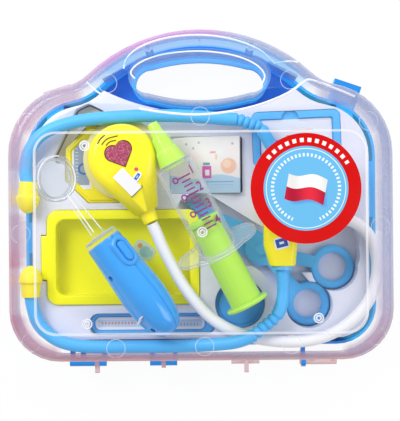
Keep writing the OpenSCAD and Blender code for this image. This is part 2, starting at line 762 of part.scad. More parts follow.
module medicine_box() {
    color([0.85, 0.88, 0.9]) translate([box_at.x - box_span / 2 + box_lean, box_at.y, shelf_top + 0.2]) rotate([0, -box_tilt, 0])
        translate([0, -box_d / 2, 0]) difference() {
            cube([box_w, box_d, box_h]);
            // Lines of the tucked flaps
            for (x = [-1, box_w - 0.5]) translate([x, 1.5, box_h - 1.6]) cube([1.5, box_d - 3, 0.5]);
        }
}

module badge_frame() {
    color([0.35, 0.68, 0.92]) translate([badge_at.x, badge_at.y, tray_top - badge_h - 0.3]) rotate([0, 0, badge_turn])
        difference() {
            linear_extrude(badge_h) round_rect(badge_w, badge_d, 4);
            translate([0, 0, 1]) linear_extrude(badge_h)
                round_rect(badge_w - 2 * badge_rim, badge_d - 2 * badge_rim, 1.5);
            translate([-4, badge_d / 2 - badge_rim, 1]) cylinder(r = 6, h = badge_h);
        }
}

module badge_card() {
    color([0.95, 0.96, 0.98]) translate([badge_at.x, badge_at.y, tray_top - badge_h + 0.7]) rotate([0, 0, badge_turn])
        linear_extrude(0.6) round_rect(badge_w - 2 * badge_rim - 0.4, badge_d - 2 * badge_rim - 0.4, 1.3);
}

module thermometer_body() {
    color([0.3, 0.6, 0.88]) translate([thermo_at.x, thermo_at.y, shelf_top]) difference() {
        linear_extrude(thermo_h) round_rect(thermo_w, thermo_d, thermo_d / 2 - 0.5);
        translate([-2, 0, thermo_h - 1.2]) linear_extrude(2)
            round_rect(thermo_w - 9, thermo_d - 5, thermo_d / 2 - 3);
    }
}

module thermometer_inlay() {
    color([0.93, 0.94, 0.96]) translate([thermo_at.x - 2, thermo_at.y, shelf_top + thermo_h - 1.2])
        linear_extrude(0.9) round_rect(thermo_w - 9.4, thermo_d - 5.4, thermo_d / 2 - 3.2);
}

module pill_jar() {
    color([0.3, 0.62, 0.9]) translate([jar_at.x, jar_at.y, shelf_top]) difference() {
        cylinder(r = jar_r, h = jar_h - jar_lid_h);
        translate([0, 0, 1.5]) cylinder(r = jar_r - 1.5, h = jar_h);
    }
}

module pill_jar_lid() {
    color([0.25, 0.55, 0.85]) translate([jar_at.x, jar_at.y, shelf_top + jar_h - jar_lid_h]) {
        cylinder(r = jar_r, h = jar_lid_h - 1);
        translate([0, 0, jar_lid_h - 1]) cylinder(r = jar_r - 2.5, h = 1);
        translate([0, 0, -2]) difference() {
            cylinder(r = jar_r - 1.7, h = 2);
            translate([0, 0, -1]) cylinder(r = jar_r - 3.2, h = 3);
        }
    }
}

// One half of the scissors: ring, shank and blade, the lap at the given height
module scissor_half(ring_at, side, lap_z) {
    ring_turn = atan2(ring_at.y - pivot_at.y, ring_at.x - pivot_at.x);
    ring_len = norm(ring_at - pivot_at);
    translate([pivot_at.x, pivot_at.y, 0]) difference() {
        union() {
            translate([0, 0, lap_z]) {
                cylinder(r = lap_r, h = lap_t);
                rotate([0, 0, blade_turn]) linear_extrude(lap_t) polygon([[-6, 0], [6, side * blade_w * 0.8],
                    [22, side * blade_w * 0.75], [blade_len - 8, side * 4.5], [blade_len, 0], [blade_len, -side],
                    [20, -side * 2.5], [0, -side * 4]]);
                rotate([0, 0, ring_turn]) translate([0, -4.5, 0]) cube([ring_len - ring_hole_r - 1, 9, lap_t]);
            }
            translate([0, 0, scissor_z]) rotate([0, 0, ring_turn]) {
                translate([lap_r + 2.5, -4.5, 0]) cube([ring_len - ring_hole_r - lap_r - 3.5, 9, scissor_t]);
                translate([ring_len, 0, 0]) rotate_extrude() translate([ring_hole_r, 0]) {
                    translate([0, 1]) square([ring_r - ring_hole_r, scissor_t - 2]);
                    translate([1, 0]) square([ring_r - ring_hole_r - 2, scissor_t]);
                }
            }
        }
        translate([0, 0, scissor_z - 1]) cylinder(r = rivet_r + rivet_gap, h = scissor_t + 2);
        // Open ring hole
        translate([0, 0, scissor_z - 1]) rotate([0, 0, ring_turn]) translate([ring_len, 0, 0])
            cylinder(r = ring_hole_r, h = scissor_t + 2);
    }
}

module scissor_blade_a() {
    color([0.28, 0.6, 0.9]) scissor_half(ring_a_at, 1, scissor_z);
}

module scissor_blade_b() {
    color([0.3, 0.66, 0.92]) scissor_half(ring_b_at, -1, scissor_z + lap_t + lap_gap);
}

module scissor_rivet() {
    color([0.6, 0.75, 0.9]) translate([pivot_at.x, pivot_at.y, scissor_z]) {
        cylinder(r = rivet_r, h = scissor_t + 0.3);
        translate([0, 0, scissor_t + 0.3]) cylinder(r = rivet_r + 1.8, h = 1.2);
    }
}

// ---- Stethoscope ----
module at_head() {
    translate([head_at.x, head_at.y, top_z]) rotate([0, 0, head_turn]) children();
}

// The head's rounded body with its neck, drawn in by d
module head_form(d) {
    hull() {
        translate([0, 0, head_part]) rotate_extrude($fn = 48) intersection() {
            union() {
                translate([0, -head_part + 2 + d]) square([head_r - head_round - 1, head_front + head_part - 2 - 2 * d]);
                translate([head_r - head_round, head_front - head_round]) circle(r = head_round - d, $fn = 24);
                translate([head_r - head_round, 8 - head_part]) circle(r = head_round - 2 - d, $fn = 24);
                translate([head_r - d - 4, -1]) square([4, 2]);
            }
            translate([0, -30]) square([60, 60]);
        }
        translate([neck_len - 1 - d, 0, head_part]) rotate([0, 90, 0]) cylinder(r = neck_r - d, h = 1, $fn = 32);
    }
}

// Room inside the head for the sound parts, and the bore of its neck
module head_room() {
    translate([0, 0, head_part]) {
        rotate_extrude() polygon([[0, 2 + head_wall - head_part], [head_r - head_round - 2, 2 + head_wall - head_part],
            [head_r - head_wall - 2.2, -4], [head_r - head_wall, 0], [head_r - head_wall, head_front - head_round],
            [head_r - head_round, head_front - head_wall], [0, head_front - head_wall]]);
        rotate([0, 90, 0]) cylinder(r = neck_r - 2.6, h = neck_len - head_wall);
    }
}

module head_half(upper) {
    difference() {
        intersection() {
            head_form(0);
            translate([-40, -40, upper ? head_part : 0]) cube([100, 80, upper ? 40 : head_part]);
        }
        head_room();
    }
}

module heart_plan(grow) {
    rotate(90) translate([0, heart_side * 0.07]) offset_heart(grow);
}

module offset_heart(grow) {
    heart(heart_side + 2 * grow);
}

module head_front_shell() {
    color([0.98, 0.9, 0.15]) at_head() difference() {
        head_half(true);
        translate([0, 0, head_part]) linear_extrude(40) heart_plan(button_gap);
        // Slot of the battery tab
        translate([26, 0, head_part + head_front]) rotate([0, 0, 20]) cube([1.2, 11, 20], center = true);
    }
}

module head_back_shell() {
    color([0.96, 0.88, 0.15]) at_head() head_half(false);
}

module head_rim() {
    color([0.93, 0.9, 0.62]) at_head() difference() {
        rotate_extrude($fn = 96) {
            square([rim_r, rim_h - 1.5]);
            square([rim_r - 1.5, rim_h]);
        }
        translate([0, 0, -1]) cylinder(r = 21, h = rim_h + 2, $fn = 64);
        // Room for the head's underside
        translate([0, 0, 0]) head_form(-0.15);
    }
}

module heart_button() {
    color([0.7, 0.12, 0.28]) at_head() {
        button_top = head_part + head_front + 0.9;
        button_low = head_part + head_front - head_wall - 4;
        translate([0, 0, button_low]) linear_extrude(button_top - button_low) heart_plan(0);
        translate([0, 0, button_low - 0.01]) linear_extrude(1.6) heart_plan(1.2);
    }
}

module head_circuit_board() {
    color([0.15, 0.5, 0.25]) at_head() {
        translate([0, 0, head_part + 2]) cylinder(r = 19, h = 1.6);
        // Rubber switch under the heart
        translate([0, 0, head_part + 3.6]) cylinder(r = 4, h = head_front - head_wall - 4 - heart_travel - 3.9);
    }
}

module head_speaker() {
    color([0.2, 0.2, 0.22]) at_head() translate([0, 0, head_part - 8.1]) {
        cylinder(r = 14, h = 2);
        translate([0, 0, 2]) cylinder(r = 8, h = 2.4);
    }
}

module head_button_cells() {
    color([0.75, 0.76, 0.78]) at_head() for (k = [-1, 1])
        translate([0, k * (cell_r + 0.3), head_part - 3.5]) cylinder(r = cell_r, h = cell_t);
}

module head_pull_tab() {
    color([0.96, 0.96, 0.97]) at_head() translate([26, 0, head_part + head_front - 1.8]) rotate([0, 0, 20])
        rotate([0, 14, 0]) translate([-19, -4.8, 0]) cube([19, 9.6, 0.4]);
}

module hose_ferrule() {
    color([0.98, 0.9, 0.15]) at_head() translate([neck_len, 0, head_part])
        turned_x([[0, 0], [0, ferrule_r], [ferrule_len, ferrule_r - 0.5], [ferrule_len, 0]]);
}

module stethoscope_hose() {
    color([0.97, 0.97, 0.98]) swept(hose_route, all_of(hose_route, hose_r), hose_sides);
}

module yoke_plan(d) {
    polygon([[-yoke_w / 2 + d, 0], [-yoke_w / 2 + d, -yoke_len + 14], [-yoke_end_w / 2 + 1.5 + d, -yoke_len],
        [yoke_end_w / 2 + 1.5 - d, -yoke_len], [yoke_w / 2 - d, -yoke_len + 14], [yoke_w / 2 - d, 0]]);
}

module hose_connector() {
    color([0.98, 0.9, 0.15]) translate([yoke_at.x, yoke_at.y, top_z]) hull() {
        translate([0, 0, 3]) linear_extrude(yoke_h - 6) yoke_plan(0);
        linear_extrude(yoke_h) yoke_plan(3);
    }
}

module tube_flange() {
    color([0.5, 0.78, 0.95]) translate([lower_mouth.x, lower_mouth.y, yoke_z]) rotate([90, 0, 0]) difference() {
        cylinder(r = 7.8, h = 2.6);
        translate([0, 0, -1]) cylinder(r = tube_r + 0.1, h = 5);
    }
}

module ear_tube_upper() {
    head = curve(upper_route, 2);
    ribs = rib_path(upper_ribs);
    tail = curve(upper_tail, 2);
    color([0.3, 0.66, 0.93]) swept(concat(head, ribs, tail),
        concat(all_of(head, tube_r), rib_radii(), all_of(tail, tube_r)), tube_sides);
}

module ear_tube_lower() {
    tail = curve(lower_tail, 2);
    ribs = rib_path(lower_ribs);
    head = curve(lower_route, 2);
    color([0.3, 0.66, 0.93]) swept(concat(tail, ribs, head),
        concat(all_of(tail, tube_r), rib_radii(), all_of(head, tube_r)), tube_sides);
}

// A soft tip on the end of an ear tube, pointing along Y by the sign given
module ear_tip(at, way, lean) {
    translate(at) rotate([0, 0, way * 90 + lean]) turned_x([[0, 0], [0, 6.2], [10, 7.2], [10.5, tip_r],
        [14, tip_r - 0.3], [18, tip_r - 1.9], [21, tip_r - 4.3], [22.6, tip_r - 7], [22.6, 0]]);
}

module ear_tip_upper() {
    color([0.98, 0.92, 0.15]) ear_tip(upper_route[0] + [0.3, tube_seat, 0], -1, 3);
}

module ear_tip_lower() {
    end = lower_route[len(lower_route) - 1];
    color([0.98, 0.92, 0.15]) ear_tip(end - [0, tube_seat, 0], 1, 1);
}

// ---- Syringe ----
module at_syringe() {
    translate([syringe_at.x, syringe_at.y, syringe_z]) rotate([0, syringe_tilt, syringe_turn]) children();
}

// Stands on the finger flange, leaning with it
module at_flange() {
    translate([flange_x, 0, 0]) rotate([0, flange_rake, 0]) children();
}

module syringe_barrel() {
    color([0.9, 0.93, 0.97, 0.4]) at_syringe() difference() {
        union() {
            difference() {
                translate([nozzle_len, 0, 0]) rotate([0, 90, 0]) cylinder(r = barrel_r, h = barrel_len + 12);
                at_flange() translate([0, -30, -30]) cube([30, 60, 60]);
            }
            at_flange() translate([-flange_t, 0, 0]) rotate([90, 0, 90]) linear_extrude(flange_t)
                oval(flange_w, flange_h, 12);
        }
        translate([nozzle_len + 2, 0, 0]) rotate([0, 90, 0]) cylinder(r = bore_r, h = barrel_len + 30);
        translate([nozzle_len - 1, 0, 0]) rotate([0, 90, 0]) cylinder(r = 8, h = 5);
    }
}

module syringe_nozzle() {
    color([0.75, 0.93, 0.35]) at_syringe() difference() {
        union() {
            turned_x([[0, 0], [0, 3.6], [10.5, 5.2], [11, 6], [20.5, 7.2], [21, 8.2], [nozzle_len, 10],
                [nozzle_len, 0]]);
            translate([nozzle_len, 0, 0]) rotate([0, 90, 0]) cylinder(r = 7.9, h = 3);
        }
        translate([-1, 0, 0]) rotate([0, 90, 0]) cylinder(r = 1.8, h = nozzle_len + 5);
    }
}

module syringe_plunger() {
    piston_x = syringe_len - disc_t - 66;
    color([0.68, 0.88, 0.25]) at_syringe() {
        difference() {
            union() {
                translate([piston_x, 0, 0]) rotate([0, 90, 0]) cylinder(r = bore_r - plunger_gap, h = 4);
                turned_x([[piston_x, 0], [piston_x, 10.4], [syringe_len - disc_t, 11.6], [syringe_len - disc_t, 0]]);
            }
            translate([piston_x - 1, 0, 0]) rotate([0, 90, 0]) cylinder(r = 8.8, h = 60);
        }
        turned_x([[syringe_len - disc_t, 0], [syringe_len - disc_t, disc_r - 1], [syringe_len - disc_t + 1, disc_r],
            [syringe_len - 1, disc_r], [syringe_len, disc_r - 1], [syringe_len, 0]]);
    }
}

// ---- Exam light ----
module at_light() {
    translate([light_at.x, light_at.y, light_z]) rotate([0, 0, light_turn]) rotate([light_roll, 0, 0]) children();
}

// A round slab with bulging edges
module pebble(r, half_t, round_r) {
    rotate_extrude($fn = 32) intersection() {
        union() {
            square([2 * (r - round_r), 2 * half_t], center = true);
            translate([r - round_r, 0]) scale_round(round_r, half_t);
        }
        translate([0, -30]) square([60, 60]);
    }
}

module scale_round(r, half_t) {
    for (s = [-1, 1]) translate([0, s * (half_t - r)]) circle(r = r, $fn = 16);
    translate([0, -(half_t - r)]) square([r, 2 * (half_t - r)]);
}

module light_form() {
    hull() {
        rotate([0, 90, 0]) cylinder(r = light_top_r, h = 1, $fn = 32);
        translate([light_mid_x, 0, 0]) pebble(light_mid_r, light_half_t, light_round);
        translate([light_len - light_end_r, 0, 0]) pebble(light_end_r, 8.6, 6);
    }
}

module button_plan(w, h) {
    round_rect(w, h, h / 2 - 0.1);
}

// Half of the handle: the side with the screws is the front
module light_half(front) {
    difference() {
        intersection() {
            union() {
                light_form();
                // Raised pad round the button
                translate([light_button_x, light_top_r + 1.3, 0]) rotate([90, 0, 0]) linear_extrude(6)
                    button_plan(22, 12);
            }
            translate([-5, -30, front ? 0 : -30]) cube([100, 60, 30]);
        }
        // The room inside leaves the screw posts and the cradle of the cells standing
        difference() {
            turned_x([[light_wall, 0], [light_wall, light_top_r - light_wall - 0.5],
                [light_mid_x, light_half_t - light_wall], [58, 9.5], [72, 6], [74, 0]]);
            for (p = screw_posts) translate([p.x, 0, front ? -1 : -p.y]) cylinder(r = 3.4, h = p.y + 1, $fn = 24);
            if (!front) translate([cells_x - 1, -4, -light_half_t])
                cube([3 * cell_t + 2, 8, light_half_t - cell_r - 0.3]);
        }
        for (p = screw_posts) {
            translate([p.x, 0, 1 - p.y]) cylinder(r = 1.1, h = 30, $fn = 24);
            if (front) translate([p.x, 0, p.y - 4]) cylinder(r = 2, h = 20, $fn = 24);
        }
        translate([-1, 0, 0]) rotate([0, 90, 0]) cylinder(r = 2.6, h = 4, $fn = 24);
        translate([light_button_x, light_top_r + 3, 0]) rotate([90, 0, 0]) linear_extrude(10)
            button_plan(15 + 2 * button_gap, 5.6 + 2 * button_gap);
        translate([light_button_x, light_top_r - 1.4, 0]) rotate([90, 0, 0]) linear_extrude(8)
            button_plan(17.5 + 2 * button_gap, 8 + 2 * button_gap);
    }
}

module light_front_shell() {
    color([0.2, 0.55, 0.93]) at_light() difference() {
        light_half(true);
        // Slot of the battery tab
        translate([59, 0, 10]) rotate([0, 0, 20]) cube([1, 9, 20], center = true);
    }
}

module light_back_shell() {
    color([0.22, 0.58, 0.95]) at_light() light_half(false);
}

module light_button() {
    color([0.35, 0.68, 0.97]) at_light() {
        translate([light_button_x, light_top_r + 2.4, 0]) rotate([90, 0, 0]) linear_extrude(6.5) button_plan(15, 5.6);
        translate([light_button_x, light_top_r - 2.6, 0]) rotate([90, 0, 0]) linear_extrude(1.5) button_plan(17.5, 8);
    }
}

module mirror_head() {
    color([0.92, 0.94, 0.97, 0.45]) at_light() {
        turned_x([[0, 0], [0, light_top_r - 0.6], [-collar_len + 1, light_top_r - 1], [-collar_len, light_top_r - 2],
            [-collar_len, 6], [-collar_len - 3, 4.6], [-collar_len - stem_len, 3], [-collar_len - stem_len, 0]]);
        at_mirror() mirror_ring();
    }
}

module at_mirror() {
    rotate([-light_roll, 0, 0]) translate([-collar_len - stem_len - 13, 0, 4]) rotate([0, 0, -light_turn]) rotate([0, mirror_tilt, 0])
        rotate([0, 0, light_turn]) children();
}

module mirror_ring() {
    rotate_extrude($fn = 72) {
        translate([mirror_r - 2.6, -2.5]) square([2.6, 5]);
        translate([mirror_r - 3.4, -2.5]) square([1.2, 1.4]);
    }
}

module mirror_glass() {
    color([0.85, 0.88, 0.92, 0.6]) at_light() at_mirror() translate([0, 0, -1.1]) cylinder(r = mirror_r - 2.6, h = 1.4, $fn = 72);
}

module light_lamp() {
    color([0.95, 0.95, 0.8]) at_light() turned_x([[0.2, 0], [0.2, 2.5], [5, 2.5], [5, 3], [6.9, 3], [6.9, 0]]);
}

module light_circuit_board() {
    color([0.15, 0.5, 0.25]) at_light() {
        translate([7, 3.4, -3]) cube([12, 1.6, 6]);
        translate([light_button_x - 2, 5, -2]) cube([4, light_top_r - 4.4 - light_travel - 5, 4]);
    }
}

module light_button_cells() {
    color([0.75, 0.76, 0.78]) at_light() for (k = [0:2])
        translate([cells_x + k * (cell_t + 0.3), 0, 0]) rotate([0, 90, 0]) cylinder(r = cell_r, h = cell_t);
}

module light_pull_tab() {
    color([0.96, 0.96, 0.97]) at_light() translate([59, 0, 12.6]) rotate([0, 0, 20]) cube([0.4, 8, 9], center = true);
}

module light_screws() {
    color([0.7, 0.7, 0.72]) at_light() for (p = screw_posts) translate([p.x, 0, 0]) {
        translate([0, 0, p.y - 4]) cylinder(r = 1.8, h = 1.4, $fn = 24);
        translate([0, 0, -3]) cylinder(r = 1, h = p.y - 0.8, $fn = 24);
    }
}

base_shell();
insert_tray();
lid_shell();
lid_sticker();
dish();
gauge_body();
gauge_dial();
gauge_hoop();
medicine_box();
badge_frame();
badge_card();
thermometer_body();
thermometer_inlay();
scissor_blade_a();
scissor_blade_b();
scissor_rivet();
pill_jar();
pill_jar_lid();
head_front_shell();
head_back_shell();
head_rim();
heart_button();
head_circuit_board();
head_speaker();
head_button_cells();
head_pull_tab();
hose_ferrule();
stethoscope_hose();
hose_connector();
tube_flange();
ear_tube_upper();
ear_tube_lower();
ear_tip_upper();
ear_tip_lower();
syringe_barrel();
syringe_nozzle();
syringe_plunger();
light_front_shell();
light_back_shell();
light_button();
mirror_head();
mirror_glass();
light_lamp();
light_circuit_board();
light_button_cells();
light_pull_tab();
light_screws();
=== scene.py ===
# %% [markdown]
# # A toy doctor case, dressed for its photograph
#
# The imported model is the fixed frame. This lesson gives each part its finish,
# replaces the parts whose plain solids are too angular, and adds the prints.
# Every size is in millimetres where it is written and becomes metres in `mm`.

import json
import math

import bmesh
import bpy
from mathutils import Matrix, Vector
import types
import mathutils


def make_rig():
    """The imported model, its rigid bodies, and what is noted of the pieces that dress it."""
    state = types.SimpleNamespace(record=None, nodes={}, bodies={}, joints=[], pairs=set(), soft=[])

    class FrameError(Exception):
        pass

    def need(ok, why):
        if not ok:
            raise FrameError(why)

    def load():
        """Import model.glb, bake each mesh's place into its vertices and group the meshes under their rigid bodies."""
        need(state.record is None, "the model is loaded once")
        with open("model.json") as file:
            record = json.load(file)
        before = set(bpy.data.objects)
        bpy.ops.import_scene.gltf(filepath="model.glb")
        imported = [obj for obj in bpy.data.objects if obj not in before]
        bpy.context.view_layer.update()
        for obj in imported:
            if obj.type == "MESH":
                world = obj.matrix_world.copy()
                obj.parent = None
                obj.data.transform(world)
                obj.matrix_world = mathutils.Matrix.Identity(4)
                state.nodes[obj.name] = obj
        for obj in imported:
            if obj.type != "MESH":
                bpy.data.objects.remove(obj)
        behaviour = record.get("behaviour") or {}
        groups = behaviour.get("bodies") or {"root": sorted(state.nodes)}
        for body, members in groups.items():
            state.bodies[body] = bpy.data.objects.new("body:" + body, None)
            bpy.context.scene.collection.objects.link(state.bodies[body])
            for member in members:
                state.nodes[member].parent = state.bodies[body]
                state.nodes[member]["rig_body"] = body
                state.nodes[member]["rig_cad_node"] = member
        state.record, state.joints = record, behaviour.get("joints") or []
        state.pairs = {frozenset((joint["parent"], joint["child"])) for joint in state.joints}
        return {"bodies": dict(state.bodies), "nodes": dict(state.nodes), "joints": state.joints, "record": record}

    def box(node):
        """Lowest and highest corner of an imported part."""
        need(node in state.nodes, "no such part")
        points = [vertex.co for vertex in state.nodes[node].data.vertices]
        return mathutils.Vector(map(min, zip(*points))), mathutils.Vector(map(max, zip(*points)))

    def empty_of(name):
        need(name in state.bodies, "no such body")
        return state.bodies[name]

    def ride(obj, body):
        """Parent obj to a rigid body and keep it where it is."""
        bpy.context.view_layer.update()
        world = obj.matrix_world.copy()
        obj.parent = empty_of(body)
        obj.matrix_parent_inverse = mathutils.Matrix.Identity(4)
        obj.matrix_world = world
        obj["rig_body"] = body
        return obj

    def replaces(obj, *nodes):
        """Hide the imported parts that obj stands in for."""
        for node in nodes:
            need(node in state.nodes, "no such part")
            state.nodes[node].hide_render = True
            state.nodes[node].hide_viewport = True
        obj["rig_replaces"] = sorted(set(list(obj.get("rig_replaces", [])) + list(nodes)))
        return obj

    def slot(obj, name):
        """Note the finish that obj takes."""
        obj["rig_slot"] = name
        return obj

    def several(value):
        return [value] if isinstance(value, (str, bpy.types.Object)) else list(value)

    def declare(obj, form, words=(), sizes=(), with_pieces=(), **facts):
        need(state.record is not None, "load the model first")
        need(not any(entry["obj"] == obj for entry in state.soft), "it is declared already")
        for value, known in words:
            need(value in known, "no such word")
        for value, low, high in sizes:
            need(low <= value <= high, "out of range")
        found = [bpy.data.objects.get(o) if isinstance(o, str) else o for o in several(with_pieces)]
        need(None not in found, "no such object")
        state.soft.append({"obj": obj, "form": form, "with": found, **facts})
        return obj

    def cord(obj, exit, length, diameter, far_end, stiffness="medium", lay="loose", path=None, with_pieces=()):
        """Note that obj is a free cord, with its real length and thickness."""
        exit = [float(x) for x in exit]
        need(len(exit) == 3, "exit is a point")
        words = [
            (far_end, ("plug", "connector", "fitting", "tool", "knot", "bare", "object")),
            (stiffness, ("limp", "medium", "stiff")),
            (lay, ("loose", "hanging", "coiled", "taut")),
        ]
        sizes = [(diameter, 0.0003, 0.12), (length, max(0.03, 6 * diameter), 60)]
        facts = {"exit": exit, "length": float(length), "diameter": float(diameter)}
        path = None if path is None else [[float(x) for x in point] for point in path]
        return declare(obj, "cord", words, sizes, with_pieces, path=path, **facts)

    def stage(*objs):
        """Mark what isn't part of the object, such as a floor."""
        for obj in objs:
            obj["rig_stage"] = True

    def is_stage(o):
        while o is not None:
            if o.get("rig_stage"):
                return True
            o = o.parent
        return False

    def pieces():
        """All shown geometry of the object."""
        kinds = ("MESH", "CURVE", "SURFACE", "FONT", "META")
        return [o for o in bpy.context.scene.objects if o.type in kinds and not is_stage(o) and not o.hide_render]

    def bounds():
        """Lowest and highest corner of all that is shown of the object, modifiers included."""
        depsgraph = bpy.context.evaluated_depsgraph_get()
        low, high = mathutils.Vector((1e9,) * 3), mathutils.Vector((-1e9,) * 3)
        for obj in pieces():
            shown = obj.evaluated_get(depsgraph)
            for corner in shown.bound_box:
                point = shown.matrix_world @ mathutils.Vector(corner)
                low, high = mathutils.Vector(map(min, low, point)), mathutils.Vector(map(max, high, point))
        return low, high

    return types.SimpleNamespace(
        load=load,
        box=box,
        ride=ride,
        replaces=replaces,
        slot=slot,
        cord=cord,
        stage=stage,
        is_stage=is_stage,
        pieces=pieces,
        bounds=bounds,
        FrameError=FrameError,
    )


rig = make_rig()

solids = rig.load()["nodes"]
cad_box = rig.bounds()
print("frame loaded:", len(solids), "solids")


def mm(*values):
    """Millimetres to metres: one number, or a point."""
    return values[0] / 1000 if len(values) == 1 else Vector(v / 1000 for v in values)


def linked(name, data):
    """A new object of this data, in the scene."""
    made = bpy.data.objects.new(name, data)
    bpy.context.scene.collection.objects.link(made)
    return made


# %% [markdown]
# ## Camera
#
# The photograph looks straight down on the closed lid from about 0.74 m. A
# camera could be aimed with a constraint, but a plain location and a small
# turn are easier to read. The long side of the picture is its height.

# %% The camera
CAMERA_HEIGHT = 743.5
LID_FRONT = 62.5
PICTURE_MM = 286.3          # height of the picture at the lid's front
camera_data = bpy.data.cameras.new("camera")
camera_data.lens = camera_data.sensor_width * (CAMERA_HEIGHT - LID_FRONT) / PICTURE_MM
camera = linked("camera", camera_data)
camera.location = mm(-0.5, -4.4, CAMERA_HEIGHT)
camera.rotation_euler = (0, 0, math.radians(-0.5))
bpy.context.scene.camera = camera
print("lens", round(camera_data.lens, 1), "mm")

# %% [markdown]
# ## Helpers for shader maths
#
# A formula such as `1 - mask * 0.5` is easier to read than five Math nodes.
# `Tap` wraps one socket and turns Python operators into Math nodes.


# %% Sockets that can be used in formulas
class Tap:
    """An output socket of a node tree, for use in formulas."""

    def __init__(self, tree, socket):
        self.tree = tree
        self.socket = socket

    def math(self, operation, a, b=None, clamp=False):
        values = {0: a} if b is None else {0: a, 1: b}
        return add_node(self.tree, "ShaderNodeMath", values, operation=operation, use_clamp=clamp)

    def __add__(self, other):
        return self.math("ADD", self, other)

    def __radd__(self, other):
        return self.math("ADD", other, self)

    def __sub__(self, other):
        return self.math("SUBTRACT", self, other)

    def __rsub__(self, other):
        return self.math("SUBTRACT", other, self)

    def __mul__(self, other):
        return self.math("MULTIPLY", self, other)

    def __rmul__(self, other):
        return self.math("MULTIPLY", other, self)

    def __pow__(self, other):
        return self.math("POWER", self, other)

    def absolute(self):
        return self.math("ABSOLUTE", self)

    def sine(self):
        return self.math("SINE", self)

    def least(self, other):
        return self.math("MINIMUM", self, other)

    def most(self, other):
        return self.math("MAXIMUM", self, other)

    def below(self, limit, soft):
        """1 where the value is under the limit, 0 above it, with a soft edge."""
        return self.math("MULTIPLY", limit - self, 1 / soft, clamp=True)

    def between(self, low, high, soft):
        return self.below(high, soft) * (1 - self.below(low, soft))

    def near(self, middle, half, soft):
        """1 within half of the middle, 0 further off."""
        return (self - middle).absolute().below(half, soft)

    def grow(self, start, span):
        """0 up to the start, 1 from start + span on."""
        return self.math("DIVIDE", self - start, span, clamp=True)

    def beats(self):
        """From 0.5 down to 0 and back, once for every 1 that the value grows."""
        return (self.math("FRACT", self) - 0.5).absolute()


def add_node(tree, kind, inputs=None, out=0, **settings):
    """Adds a node with its settings and the values or links of its sockets."""
    made = tree.nodes.new(kind)
    for name, value in settings.items():
        if name == "stops":
            ramp = made.color_ramp
            while len(ramp.elements) < len(value):
                ramp.elements.new(0.5)
            for element, (position, colour) in zip(ramp.elements, value):
                element.position = position
                element.color = (*rgb(*colour), 1)
        else:
            setattr(made, name, value)
    for name, value in (inputs or {}).items():
        socket = made.inputs[name]
        if isinstance(value, Tap):
            tree.links.new(value.socket, socket)
        elif socket.type == "RGBA":
            socket.default_value = (*value, 1)
        else:
            socket.default_value = value
    return Tap(tree, made.outputs[out]) if made.outputs else None


def rgb(*screen):
    """A screen colour from 0 to 255 as the linear colour that shaders use."""
    shares = [v / 255 for v in screen]
    return tuple(v / 12.92 if v <= 0.04045 else ((v + 0.055) / 1.055) ** 2.4 for v in shares)


def new_material(name):
    material = bpy.data.materials.new(name)
    material.use_nodes = True
    material.node_tree.nodes.clear()
    return material, material.node_tree


def output(tree, shader):
    """Ends a material with this shader."""
    add_node(tree, "ShaderNodeOutputMaterial", {"Surface": shader})


def place(tree):
    """The surface's own place, in metres."""
    return add_node(tree, "ShaderNodeTexCoord", out=3)


def local_mm(tree, centre=(0, 0, 0), turn=0):
    """The surface's own place as x, y and z: millimetres from a centre."""
    spot = add_node(tree, "ShaderNodeMapping", {
        "Vector": place(tree), "Location": tuple(mm(*centre)), "Rotation": (0.0, 0.0, math.radians(turn)),
        "Scale": (0.001, 0.001, 0.001)}, vector_type="TEXTURE")
    split = add_node(tree, "ShaderNodeSeparateXYZ", {"Vector": spot})
    return [Tap(tree, socket) for socket in split.socket.node.outputs]


def distance(x, y, at_x, at_y):
    dx, dy = x - at_x, y - at_y
    return (dx * dx + dy * dy) ** 0.5


def noise(tree, scale, detail=2.0):
    return add_node(tree, "ShaderNodeTexNoise", {"Vector": place(tree), "Scale": scale, "Detail": detail})


def facing(tree):
    """0 where the surface faces the eye, 1 where it is seen edge on."""
    return add_node(tree, "ShaderNodeLayerWeight", {"Blend": 0.5}, 1)


def blend_colours(tree, factor, a, b):
    """Mixes two colours: a where the factor is 0 and b where it is 1."""
    return add_node(tree, "ShaderNodeMix", {0: factor, 6: a, 7: b}, 2, data_type="RGBA")


def printed(tree, paper, *marks):
    """A colour with marks printed over it, each (mask, screen colour)."""
    for mask, colour in marks:
        paper = blend_colours(tree, mask, paper, rgb(*colour))
    return paper


def mix_shaders(tree, factor, a, b):
    return add_node(tree, "ShaderNodeMixShader", {0: factor, 1: a, 2: b})


def transparent(tree, colour):
    return add_node(tree, "ShaderNodeBsdfTransparent", {"Color": colour})


def plastic(tree, colour, rough, bump, gloss, **more):
    """A Principled shader. bump is (strength, depth, height)."""
    normal = add_node(tree, "ShaderNodeBump", dict(zip(("Strength", "Distance", "Height"), bump)))
    return add_node(tree, "ShaderNodeBsdfPrincipled", {
        "Base Color": colour, "Roughness": rough, "Normal": normal, "Specular IOR Level": gloss, **more})


# %% [markdown]
# ## Moulded plastic
#
# Toy plastic is never one flat colour: the melt flows unevenly, the surface
# has a faint orange peel, and gloss changes a little from place to place. One
# function makes them all, from a colour, a roughness and a few amounts. The
# base's inside also gets painted light: a faint glow where its deep well is in shade.

# %% Moulded plastic
FLOW_SCALE, PEEL_SCALE, PEEL_DEPTH = 28, 900, 0.0004


